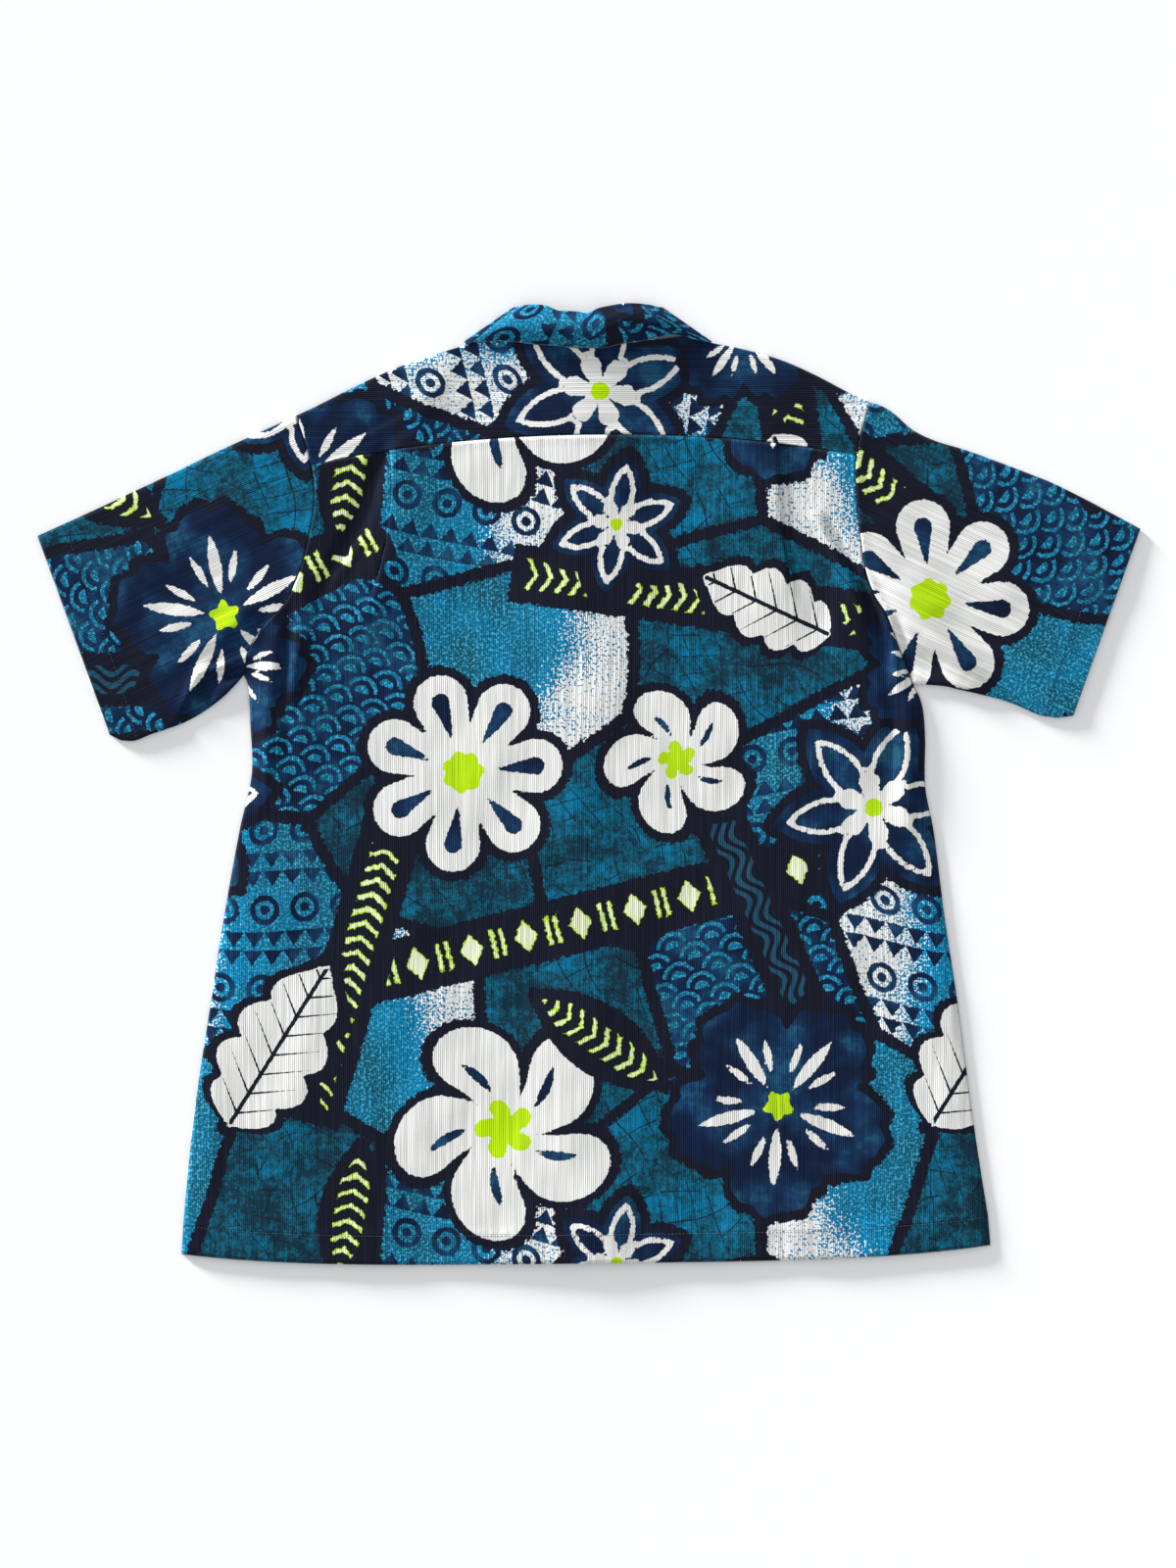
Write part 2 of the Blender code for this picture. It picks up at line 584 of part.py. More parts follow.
def sleeve_grid(side):
    """A sleeve's rings from armhole to cuff, each over its top layer and back under it."""
    top, under = (LEFT_TOP, LEFT_UNDER) if side < 0 else (RIGHT_TOP, RIGHT_UNDER)
    seam = armhole_seam(side)
    lengths = [0.0]
    for a, b in zip(seam, seam[1:]):
        lengths.append(lengths[-1] + (b - a).length)
    grid = []
    for i in range(SLEEVE_STEPS + 1):
        along = sleeve_share(i)
        start, end = spline([seam[0], *top], along), spline([seam[-1], *under], along)
        bend = (1 - ease(along)) ** 1.5
        line = []
        for point, length in zip(seam, lengths):
            share = length / lengths[-1]
            line.append(start.lerp(end, share) + (point - seam[0].lerp(seam[-1], share)) * bend)
        up = (start - end).normalized().lerp((seam[0] - seam[1]).normalized(), bend)
        down = (end - start).normalized().lerp((seam[-1] - seam[-2]).normalized(), bend)
        folds = []
        for place, out in ((0, up.normalized()), (-1, down.normalized())):
            low, high = low_level(*line[place]), top_level(*line[place])
            folds.append(around_fold(line[place], out, low, high))
            line[place] = line[place] - out * (high - low) / 2
        upper = [Vector((*p, top_level(*p))) for p in line]
        lower = [Vector((*p, low_level(*p))) for p in line]
        ring = upper + folds[1] + lower[::-1] + folds[0][::-1]
        grid.append(ring if side > 0 else ring[::-1])
    return grid


def sleeve_share(i):
    """Share along a sleeve of ring i, with two rings close together at its hem."""
    hem = 1 - CUFF_HEM / SLEEVE_LENGTH
    if i == SLEEVE_STEPS:
        return 1.0
    if i == SLEEVE_STEPS - 1:
        return hem
    return (hem - HEM_STEP / SLEEVE_LENGTH) * i / (SLEEVE_STEPS - 2)


def sleeve_thick(r, _):
    """The last two rings are the cuff's turned-up hem."""
    return HEM_CLOTH if r >= SLEEVE_STEPS - 1 else CLOTH


# ---------- buttons ----------

def button(name, y, material):
    """A four-hole button under the placket, its face down on the surface."""
    profile = (  # inward from the outer radius, and height
        (2 * BUTTON_RIM, BUTTON_DISH), (BUTTON_RIM, 0.0), (0.4, 0.0), (0.0, 0.5),
        (0.3, BUTTON_THICK - 0.2), (0.8, BUTTON_THICK),
    )
    points, faces = [], []
    for inward, z in profile:
        for k in range(BUTTON_SIDES):
            turn = 2 * math.pi * k / BUTTON_SIDES
            radius = BUTTON_RADIUS - inward
            points.append(Vector((radius * math.cos(turn), radius * math.sin(turn), z)))
    for ring in range(len(profile) - 1):
        for k in range(BUTTON_SIDES):
            a, b = ring * BUTTON_SIDES + k, ring * BUTTON_SIDES + (k + 1) % BUTTON_SIDES
            faces.append((a, a + BUTTON_SIDES, b + BUTTON_SIDES, b))
    last = (len(profile) - 1) * BUTTON_SIDES
    faces.append(tuple(range(BUTTON_SIDES)))
    faces.append(tuple(reversed(range(last, last + BUTTON_SIDES))))
    mesh = bpy.data.meshes.new(name)
    mesh.from_pydata([p * MM for p in points], [], [tuple(reversed(f)) for f in faces])
    mesh.shade_smooth()
    mesh.set_sharp_from_angle(angle=math.radians(35))
    mesh.materials.append(material)
    made = bpy.data.objects.new(name, mesh)
    made.location = Vector((0, y, 0)) * MM
    bpy.context.scene.collection.objects.link(made)
    for k in range(4):
        turn = math.pi / 4 + math.pi / 2 * k
        add_hole(made, BUTTON_HOLE_SPREAD * math.cos(turn), y + BUTTON_HOLE_SPREAD * math.sin(turn))
    return made


def add_hole(made, x, y):
    """Cuts one thread hole right through a button."""
    ring = [(BUTTON_HOLE * math.cos(2 * math.pi * k / BUTTON_HOLE_SIDES),
             BUTTON_HOLE * math.sin(2 * math.pi * k / BUTTON_HOLE_SIDES)) for k in range(BUTTON_HOLE_SIDES)]
    points = [Vector((px, py, z)) * MM for z in (-1, BUTTON_THICK + 1) for px, py in ring]
    n = BUTTON_HOLE_SIDES
    faces = [tuple(reversed(range(n))), tuple(range(n, 2 * n))]
    faces += [(k, (k + 1) % n, n + (k + 1) % n, n + k) for k in range(n)]
    mesh = bpy.data.meshes.new("hole")
    mesh.from_pydata(points, [], faces)
    cutter = bpy.data.objects.new("hole", mesh)
    cutter.location = Vector((x, y, 0)) * MM
    cutter.hide_render = True
    cutter.display_type = "WIRE"
    bpy.context.scene.collection.objects.link(cutter)
    cut = made.modifiers.new("hole", "BOOLEAN")
    cut.operation = "DIFFERENCE"
    cut.object = cutter


# ---------- whole ----------

def material(name, colour, roughness):
    made = bpy.data.materials.new(name)
    made.use_nodes = True
    shader = made.node_tree.nodes["Principled BSDF"]
    shader.inputs["Base Color"].default_value = (*colour, 1)
    shader.inputs["Roughness"].default_value = roughness
    shader.inputs["Metallic"].default_value = 0.0
    return made


def main():
    """Builds every piece in an empty scene."""
    for old in list(bpy.data.objects):
        bpy.data.objects.remove(old)
    cloth = material("printed_cloth", CLOTH_COLOUR, 0.85)
    shell = material("button", BUTTON_COLOUR, 0.4)
    wall("back", back_grid(), cloth, hem_thick)
    wall("front_left", front_grid(-1), cloth, hem_thick)
    wall("front_right", front_grid(1), cloth, hem_thick)
    wall("yoke", yoke_grid(), cloth)
    wall("sleeve_left", sleeve_grid(-1), cloth, sleeve_thick, closed=True)
    wall("sleeve_right", sleeve_grid(1), cloth, sleeve_thick, closed=True)
    wall("collar", collar_grid(), cloth)
    for i in range(BUTTONS):
        button(f"button_{i + 1}", TOP_BUTTON_Y - BUTTON_SPACING * i, shell)


main()
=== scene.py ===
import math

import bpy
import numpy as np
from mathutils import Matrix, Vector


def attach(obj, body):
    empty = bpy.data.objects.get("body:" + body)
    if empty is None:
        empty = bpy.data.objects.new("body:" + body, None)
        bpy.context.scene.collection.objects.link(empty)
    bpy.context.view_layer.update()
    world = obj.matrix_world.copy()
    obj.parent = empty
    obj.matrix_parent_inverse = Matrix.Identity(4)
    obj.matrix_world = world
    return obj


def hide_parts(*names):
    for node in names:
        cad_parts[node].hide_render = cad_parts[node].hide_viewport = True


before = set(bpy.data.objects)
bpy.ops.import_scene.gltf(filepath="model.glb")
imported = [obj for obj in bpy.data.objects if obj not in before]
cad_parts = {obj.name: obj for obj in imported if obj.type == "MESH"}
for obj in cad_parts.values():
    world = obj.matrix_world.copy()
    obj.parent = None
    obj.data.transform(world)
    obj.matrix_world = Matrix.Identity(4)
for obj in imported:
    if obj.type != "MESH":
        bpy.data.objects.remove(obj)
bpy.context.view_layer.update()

# The looks of a printed, ribbed cotton shirt that lies on its front with its back up. Every cloth
# piece is a fine, thin shell on the form of its solid. Tables and forms are in millimetres. Left is
# the wearer's, at -x and side -1, and right is side 1.

MM = 0.001
SIDES = (-1, 1)
SIDE_NAMES = {-1: "left", 1: "right"}

# ---------- sizes that the solids have too ----------

CLOTH_WALL = 1.0  # of a solid's wall
SEAM_GAP = 0.4
LAYER = 1.4
REST = CLOTH_WALL / 2
TOP, CUFF_TOP = 4.2, 2.9
LEAST_GAP = 1.4
EDGE_TOP = 1.9
EDGE_ROUNDING = 12.0
PLACKET_HALF = 15.0
PLACKET_LIFT = 2.1
PLACKET_FLAT, PLACKET_RAMP = 20.0, 24.0
LIFT_END = -350.0
OVERLAP_LIFT = 1.9
CROWN, CROWN_WIDTH = 2.8, 55.0
HEM_HEIGHT, HEM_STEP = 24.0, 1.5
CUFF_HEM = 24.0
FRONT_HEM_ROWS, FRONT_HEM_BOW, FRONT_HEM_RISE = 3, 4.0, 6.0
HEM_BOW, YOKE_BOW = -11.5, 21.0
SIDE_EDGE = {
    -1: ((-289, 92), (-285, 81), (-284, 58), (-282, 12), (-293, -41), (-307.5, -123),
         (-320, -205), (-332, -287), (-340, -371), (-341.5, -395)),
    1: ((273, 84), (280, 68), (283, 45), (283, 0), (290.5, -41), (301, -123),
        (313.5, -205), (324, -287), (336, -363.5), (338, -387.5)),
}
UNDERARM_Y, HEM_Y = SIDE_EDGE[-1][0][1], SIDE_EDGE[-1][-1][1]
ARMHOLE = {
    -1: ((-245, 309), (-238, 289), (-232, 268), (-229.5, 240), (-234, 210),
         (-241, 182), (-255, 151), (-281, 122), (-289, 92)),
    1: ((237, 320), (230.5, 299), (225, 276), (225.5, 240), (229, 205),
        (236, 168), (250, 143), (261, 114), (273, 84)),
}
YOKE_STEPS, ARMHOLE_STEPS = 3, 9
SIDE_SHARES = (0.0, 0.035, 0.08, 0.15, 0.24, 0.34, 0.44, 0.54, 0.64, 0.74, 0.82)
EDGE_SHARES = (0.0, 0.008, 0.022, 0.05, 0.08)
MIDDLE_COLUMNS = 12
FRONT_EDGE_COLUMNS, FRONT_COLUMNS = (0.0, 15.0, 33.0, 60.0), 8
PLEAT_PLACES = {-1: 0.144, 1: 0.856}
PLEAT_DEPTH, PLEAT_LEAST = 12.0, 2.6
PLEAT_LENGTH, PLEAT_STEEP, PLEAT_FADE = 80.0, 95.0, 90.0
PLEAT_REACH, PLEAT_CURL = 13.0, 1.0
PLEAT_OPEN = (1.0, 30.0)
PLEAT_SPREAD = 45.0
NECK_SIDE, NECK_BACK_Y = (-80.0, 376.0), 372.0
FRONT_NECK = ((-80, 376), (-74, 362), (-66.5, 347.5), (-55, 323), (-41, 298), (-26, 272), (-12, 251))
YOKE_FRONT_POINT = 2
YOKE_SHARES = (0.0, 0.13, 0.3, 0.5, 0.7, 0.87, 1.0)
YOKE_END, YOKE_BACK_STEPS = 0.12, 20
YOKE_PLEAT_FADE = 40.0
SHOULDER_OUT = (0.39, 0.92)
SHOULDER_BULGE = {-1: 5.5, 1: 8.5}
NECK_TOP_Y = 247.0
LEAF_LINE = (20, 262, 78, 372)
LEAF_REACH, LEAF_RAMP = 56.0, 24.0
LEAF_FOLD = ((-60, 397), (-44, 362), (-29, 325), (-17, 291), (-7, 262))
LEAF_FREE = ((-103, 370.5), (-104, 346), (-101, 322), (-95, 299), (-88, 276))
BACK_FOLD = (  # share across the back, y and height of the fold line
    (0.0, 399.0, 6.2), (0.1, 402.5, 8.5), (0.2, 401.0, 11.0), (0.3, 396.5, 12.5), (0.4, 396.0, 13.0),
    (0.5, 394.5, 13.0), (0.6, 399.5, 13.0), (0.7, 402.0, 12.5), (0.8, 403.0, 11.0), (0.9, 402.5, 8.5),
    (1.0, 399.0, 6.2),
)
BACK_FREE = (  # share across the back, y and height above the yoke of the fall's free edge
    (0.0, 370.5, 1.7), (0.15, 372.0, 1.7), (0.3, 369.0, 1.6), (0.45, 366.5, 1.5), (0.55, 366.0, 1.5),
    (0.7, 371.5, 1.6), (0.85, 377.5, 1.7), (1.0, 370.5, 1.7),
)
FALL_BULGE = 6.5
COLLAR_HALF_FOLD, COLLAR_CURL = 1.1, 2.4
CREASE_OUT = (0.0, 0.3, 0.6, 1.7, 2.8, 2.4, 1.8, 1.2)
CREASE_OUTWARD = (-0.62, 0.78)
LEAF_STEPS = (1.0, 0.8, 0.6, 0.4, 0.2, 0.06)
COLLAR_BACK_STEPS = 14
SLEEVE_TOP = {
    -1: ((-277, 294.5), (-313, 278), (-347, 261.5), (-380, 246), (-414, 230), (-462.5, 208)),
    1: ((252, 314.5), (279, 293), (316, 280.5), (361, 264), (402, 247), (464, 214)),
}
SLEEVE_UNDER = {
    -1: ((-304, 76), (-322, 62), (-342, 51), (-364, 43.5), (-386, 36), (-402, 42)),
    1: ((297, 83), (313, 79.5), (335, 74.5), (356, 68.5), (386, 56.5), (408, 58)),
}
SLEEVE_LENGTH, SLEEVE_STEPS = 235.0, 11
FOLD_ANGLES = (45, 0, -45)
FOLDS = (  # x0, y0, x1, y1, half width, height
    (-172, 262, -214, 150, 13, -1.6),
    (-150, 240, -196, 120, 20, 1.8),
    (-262, 150, -266, 20, 10, 4.2),
    (-238, 170, -244, 10, 11, 3.0),
    (-251, 140, -253, 30, 6, -2.2),
    (-270, 160, -318, 116, 12, 4.0),
    (-312, 99, -338, 54, 7, -3.6),
    (-284, 99, -314, 99, 6, -3.2),
    (196, 214, 236, 182, 7, -1.8),
    (236, 184, 252, 96, 8, -2.4),
    (214, 190, 232, 60, 14, 2.6),
    (268, 84, 268, -40, 10, 3.0),
    (248, 166, 322, 92, 15, 5.0),
    (266, 112, 300, 92, 9, -3.0),
    (-330, 235, -400, 120, 26, 1.2),
    (330, 225, 400, 120, 26, 1.2),
    (-120, 60, -190, -330, 40, 1.1),
    (110, 40, 160, -320, 44, 1.1),
)
BUTTONS, TOP_BUTTON_Y, BUTTON_SPACING = 6, 232.0, 95.0
BUTTON_HOLE_SPREAD = 1.7

# ---------- sizes of the fine surface ----------

CLOTH = 0.7  # the cloth itself
HEM_CLOTH = 1.3  # with its turned-up hem
COLLAR_CLOTH = 1.0
BODY_SPACING = 3.7  # between the points of the back
FRONT_SPACING = 4.0
FINE_SPACING = 2.3  # between the points of yoke, collar and sleeves
LOWEST = 0.02  # of the cloth over the floor
PLACKET_SEAM = 33.0  # from a front's edge

# Soft creases of the upper layer, finer than the folds
CREASES = (  # x0, y0, x1, y1, half width, height
    (-170, 286, -192, 222, 6.5, -2.5),
    (-188, 232, -230, 150, 7.5, -2.4),
    (-158, 282, -176, 222, 6.0, 1.2),
    (-184, 210, -222, 160, 5.0, 1.2),
    (-243, 126, -253, 54, 5.0, 2.6),
    (-234, 124, -244, 58, 4.5, -2.6),
    (-258, 100, -266, 40, 5.0, -1.8),
    (-228, 64, -234, -30, 7.0, 1.0),
    (-272, 62, -274, -20, 6.0, 1.1),
    (190, 226, 213, 184, 4.5, 2.6),
    (213, 184, 234, 140, 5.0, 2.6),
    (201, 222, 223, 180, 4.0, -3.0),
    (223, 180, 240, 136, 5.0, -3.4),
    (234, 178, 262, 112, 5.0, 2.8),
    (206, 150, 214, 92, 5.0, 1.3),
    (244, 96, 246, 20, 6.0, 1.3),
    (256, 60, 253, -20, 5.0, -1.3),
    (259, 136, 271, 84, 5.5, -3.4),
    (256, 114, 261, 82, 4.5, 3.2),
    (-342, 62, -327, 92, 4.5, 3.2),
    (-327, 92, -288, 105, 4.5, 3.4),
    (-330, 58, -318, 86, 5.5, -3.0),
    (-318, 88, -286, 94, 5.0, -2.6),
    (-352, 84, -304, 122, 6.0, -1.2),
    (-372, 118, -322, 150, 9.0, 1.1),
    (326, 96, 286, 122, 5.0, 1.3),
    (352, 110, 296, 142, 7.0, -1.3),
    (366, 150, 318, 178, 9.0, 1.0),
    (300, 250, 372, 206, 9.0, 0.7),
    (-300, 240, -350, 196, 9.0, 0.7),
    (-60, 150, -96, -60, 16.0, 0.8),
    (40, 120, 22, -90, 18.0, -0.7),
    (-40, -120, -66, -300, 15.0, -0.7),
    (84, -150, 118, -330, 17.0, 0.8),
    (-222, -130, -258, -330, 14.0, 0.9),
    (226, -110, 262, -320, 13.0, -0.8),
    (-300, -250, -306, -352, 8.0, -0.8),
    (298, -230, 304, -350, 8.0, 0.8),
    (-146, 310, -118, 346, 8.0, 0.9),
    (128, 306, 112, 350, 9.0, -0.7),
    (-30, 300, 24, 322, 12.0, 0.5),
)
# The same on the lower layer, which lies on the surface and can only rise
UNDER_CREASES = (  # x0, y0, x1, y1, half width, height
    (-210, 190, -150, 90, 7.0, 0.7),
    (-246, 70, -230, -60, 8.0, 0.6),
    (-160, -80, -190, -300, 12.0, 0.5),
    (214, 180, 160, 80, 7.0, 0.7),
    (250, 60, 236, -70, 8.0, 0.6),
    (150, -60, 186, -290, 12.0, 0.5),
    (-380, 170, -330, 110, 8.0, 0.5),
    (380, 160, 334, 120, 8.0, 0.5),
)
RIPPLES = (  # wavelength in x and y, turn, height: the cloth is nowhere quite flat
    (96, 210, 0.2, 0.32), (61, 150, 1.1, 0.22), (143, 88, 2.3, 0.3), (38, 71, 0.7, 0.1), (52, 33, 2.9, 0.08),
)


# ---------- curves and levels ----------

def mix(a, b, share):
    return a + (b - a) * share


def ease(share):
    """0 to 1 with level ends."""
    share = np.clip(share, 0.0, 1.0)
    return share * share * (3 - 2 * share)


def unit(vector):
    return vector / np.linalg.norm(vector, axis=-1, keepdims=True)


def cubic(start, leave, end, arrive, t):
    """A curve from start to end, which leaves and arrives at these slopes."""
    return (start * (2 * t**3 - 3 * t**2 + 1) + leave * (t**3 - 2 * t**2 + t)
            + end * (3 * t**2 - 2 * t**3) + arrive * (t**3 - t**2))


def spline(points, share):
    """The point at this share, 0 to 1, of a smooth curve through evenly counted points."""
    points = np.array(points, float)
    points = np.array([points[0] * 2 - points[1], *points, points[-1] * 2 - points[-2]])
    place = min(max(share, 0.0), 1.0) * (len(points) - 3)
    i = min(int(place), len(points) - 4)
    before, start, end, after = points[i:i + 4]
    return cubic(start, (end - before) / 2, end, (after - start) / 2, place - i)


def table_at(rows, share):
    """A table's columns after its first, read between its rows at this share."""
    for low, high in zip(rows, rows[1:]):
        if share <= high[0]:
            break
    part = ease((share - low[0]) / (high[0] - low[0]))
    return [mix(a, b, part) for a, b in zip(low[1:], high[1:])]


def off_line(x, y, x0, y0, x1, y1):
    """(distance to the segment, share along it) of points."""
    along = np.array((x1 - x0, y1 - y0), float)
    share = np.clip(((x - x0) * along[0] + (y - y0) * along[1]) / (along @ along), 0, 1)
    return np.hypot(x - x0 - along[0] * share, y - y0 - along[1] * share), share


def lifted(x, y):
    """1 where the fronts lie on the buttons or a collar leaf, 0 where they lie on the surface."""
    on_leaf = 1 - ease((off_line(np.abs(x), y, *LEAF_LINE)[0] - LEAF_REACH) / LEAF_RAMP)
    in_height = (1 - ease((y - NECK_TOP_Y - LEAF_REACH) / LEAF_RAMP)) * ease((y - LIFT_END) / LEAF_REACH)
    return np.maximum(on_leaf, (1 - ease((np.abs(x) - PLACKET_FLAT) / PLACKET_RAMP)) * in_height)


def low_level(x, y):
    """Middle of the layer that lies lowest."""
    return REST + PLACKET_LIFT * lifted(x, y)


def raised(table, x, y):
    """Sum of a table's ridges and troughs, which fade out at their ends."""
    level = np.zeros_like(x, float)
    for *line, width, height in table:
        away, share = off_line(x, y, *line)
        level += height * np.exp(-((away / width) ** 2)) * np.sin(math.pi * mix(0.12, 0.88, share))
    return level


def top_level(x, y):
    """Middle of the upper layer, with its folds."""
    x, y = np.asarray(x, float), np.asarray(y, float)
    level = mix(TOP, CUFF_TOP, ease((np.abs(x) - 240) / 200))
    level = level + CROWN * np.exp(-((x / CROWN_WIDTH) ** 2)) + raised(FOLDS, x, y)
    return np.maximum(level, low_level(x, y) + LEAST_GAP)


def ripples(x, y):
    level = np.zeros_like(x)
    for across, along, turn, height in RIPPLES:
        level += height * np.sin(2 * math.pi * x / across + 3 * turn) * np.sin(2 * math.pi * y / along + turn)
    return level


# ---------- forms: grids of x, y, layer, lift and rounding ----------
# layer is 0 on the lower layer and 1 on the upper one, lift is added to its level, and
# rounding is 0 where the upper layer comes down to a side seam.

def edge_rows():
    """Edge points of the body's rows by side, from the hem up to the yoke's seam."""
    last_step = 1 / (len(SIDE_EDGE[-1]) - 1)
    above_hem = last_step * (1 + HEM_STEP / HEM_HEIGHT)
    first = (YOKE_STEPS - 1) / (len(ARMHOLE[-1]) - 1)
    places = [(SIDE_EDGE, share) for share in (1.0, 1 - last_step, 1 - above_hem, *reversed(SIDE_SHARES))]
    for step in reversed(range(ARMHOLE_STEPS)):
        places.append((ARMHOLE, mix(first, 1, step / ARMHOLE_STEPS)))
    return [{side: spline(edge[side], share) for side in SIDES} for edge, share in places]


ROWS = edge_rows()
UNDERARM_ROW = len(ROWS) - ARMHOLE_STEPS - 1


def shoulder_points(side):
    """An armhole's points from the shoulder's fold to the yoke's seam."""
    last = (YOKE_STEPS - 1) / (len(ARMHOLE[side]) - 1)
    return [spline(ARMHOLE[side], last * i / YOKE_STEPS) for i in range(YOKE_STEPS + 1)]


def row_point(row, share, height):
    """A point of a body row, bowed like the hem at height 0 and like the yoke's seam at 1."""
    x, y = mix(row[-1], row[1], share)
    off_centre = abs(2 * share - 1)
    y += HEM_BOW * (1 - off_centre**4) * (1 - height) ** 2
    y += YOKE_BOW * (1 - off_centre**2.2) * height**2
    return x, y


def pleat_section(drop):
    """(across, up) of a pleat's eight columns, this far below the yoke's seam."""
    if drop <= PLEAT_LENGTH:
        depth = mix(PLEAT_DEPTH, PLEAT_LEAST, drop / PLEAT_LENGTH)
        return ((-PLEAT_REACH, 2 * LAYER), (-PLEAT_CURL, 2 * LAYER), (0, 1.5 * LAYER),
                (-PLEAT_CURL, LAYER), (PLEAT_CURL - depth, LAYER), (-depth, 0.5 * LAYER),
                (PLEAT_CURL - depth, 0), (PLEAT_REACH, 0))
    width = mix(*PLEAT_OPEN, ease((drop - PLEAT_STEEP) / PLEAT_FADE))
    height = 2 * LAYER * pleat_strength(drop)
    slope = [(width * (k / 5 - 0.5), height * (1 - ease(k / 5))) for k in range(6)]
    reach = max(PLEAT_REACH, width / 2 + PLEAT_CURL)
    return ((-reach, height), *slope, (reach, 0))


def pleat_strength(drop):
    return 1 - ease((drop - PLEAT_STEEP) / PLEAT_FADE)


def pleat_lift(away, drop):
    """How far the middle of the back is lifted, this far from a pleat's edge."""
    return 2 * LAYER * pleat_strength(drop) * math.exp(-((max(away - PLEAT_REACH, 0) / PLEAT_SPREAD) ** 2))


def back_columns():
    """The back's columns: shares of its width, and (side, k) for the columns of a pleat."""
    first = PLEAT_PLACES[-1] + EDGE_SHARES[3]
    middle = [mix(first, 1 - first, i / MIDDLE_COLUMNS) for i in range(MIDDLE_COLUMNS + 1)]
    left, right = [(-1, k) for k in reversed(range(8))], [(1, k) for k in range(8)]
    return [*EDGE_SHARES, *left, *middle, *right, *(1 - s for s in reversed(EDGE_SHARES))]


def back_form():
    """The back, from the hem up, its pleats folded under the yoke's seam."""
    bottom, top = (row[-1][1] + row[1][1] for row in (ROWS[0], ROWS[-1]))
    grid = []
    for r, row in enumerate(ROWS):
        left, right = row[-1], row[1]
        height = (left[1] + right[1] - bottom) / (top - bottom)
        side_seam = 1 - ease((r - UNDERARM_ROW + 1) / 2)
        pleats = {side: row_point(row, PLEAT_PLACES[side], height) for side in SIDES}
        drops = {side: row_point(ROWS[-1], PLEAT_PLACES[side], 1)[1] - pleats[side][1] for side in SIDES}
        line = []
        for column in back_columns():
            lift, rounding = 0.0, 1.0
            if isinstance(column, tuple):
                side, k = column
                across, lift = pleat_section(drops[side])[k]
                x = pleats[side][0] + side * across
                y = row_point(row, (x - left[0]) / (right[0] - left[0]), height)[1]
            else:
                x, y = row_point(row, column, height)
                if pleats[-1][0] < x < pleats[1][0]:
                    lift = sum(pleat_lift(abs(x - pleats[s][0]), drops[s]) for s in SIDES)
                rounded = math.sqrt(ease(min(x - left[0], right[0] - x) / EDGE_ROUNDING))
                rounding = mix(1.0, rounded, side_seam)
            line.append((x, y, 1.0, lift, rounding))
        grid.append(line)
    return np.array(grid)


def front_edge(r):
    """Inner end of the left front's row r: down the neck, then down the placket."""
    neck = FRONT_NECK[YOKE_FRONT_POINT:]
    step = len(ROWS) - 1 - r
    if step < len(neck):
        return np.array(neck[step], float)
    if step <= ARMHOLE_STEPS:
        down = (step - len(neck)) / (ARMHOLE_STEPS - len(neck))
        return np.array((PLACKET_HALF, mix(NECK_TOP_Y, UNDERARM_Y, down)))
    down = (UNDERARM_Y - ROWS[r][-1][1]) / (UNDERARM_Y - HEM_Y)
    return np.array((PLACKET_HALF, mix(UNDERARM_Y, HEM_Y + HEM_BOW + FRONT_HEM_RISE, down)))


def front_form(side):
    """A front. The left one is the outer one."""
    grid = []
    for r, row in enumerate(ROWS):
        inner = front_edge(r) * (-side, 1)
        across = row[side] - inner
        placket = [distance / np.linalg.norm(across) for distance in FRONT_EDGE_COLUMNS]
        shares = placket + [mix(placket[-1], 1, i / FRONT_COLUMNS) for i in range(1, FRONT_COLUMNS + 1)]
        line = []
        for share in shares[::-side]:
            x, y = inner + across * share
            sag = FRONT_HEM_BOW * math.sin(math.pi * share) if r < FRONT_HEM_ROWS else 0.0
            over = OVERLAP_LIFT * (1 - ease((x - PLACKET_FLAT) / PLACKET_RAMP)) if side > 0 else 0.0
            line.append((x, y - sag, 0.0, over, 1.0))
        grid.append(line)
    return np.array(grid)


def around_fold(point, outward, half_height):
    """x, y, layer of points round a fold from its upper layer to its lower one."""
    points = []
    for angle in FOLD_ANGLES:
        turn = math.radians(angle)
        x, y = np.array(point) + np.array(outward) * half_height * (math.cos(turn) - 1)
        points.append((x, y, (1 + math.sin(turn)) / 2))
    return points


def half_gap(x, y):
    """Half the height between the lower and the upper layer."""
    return (top_level(x, y) - low_level(x, y)) / 2


def yoke_lift(x, y):
    """How far the pleats lift the yoke near its seam."""
    lift = 0.0
    for side in SIDES:
        edge = row_point(ROWS[-1], PLEAT_PLACES[side], 1)
        inward = (edge[0] - x) * side
        over, beside = max(inward, 0) / PLEAT_SPREAD, max(y - edge[1], 0) / YOKE_PLEAT_FADE
        near = ease((inward + PLEAT_REACH) / (2 * PLEAT_REACH))
        lift += 2 * LAYER * near * math.exp(-(over**2) - beside**2)
    return lift


def yoke_column(inner, outer, layer):
    points = [mix(np.array(inner, float), np.array(outer, float), s) for s in YOKE_SHARES]
    return [(*p, layer, yoke_lift(*p) * layer, 1.0) for p in points]


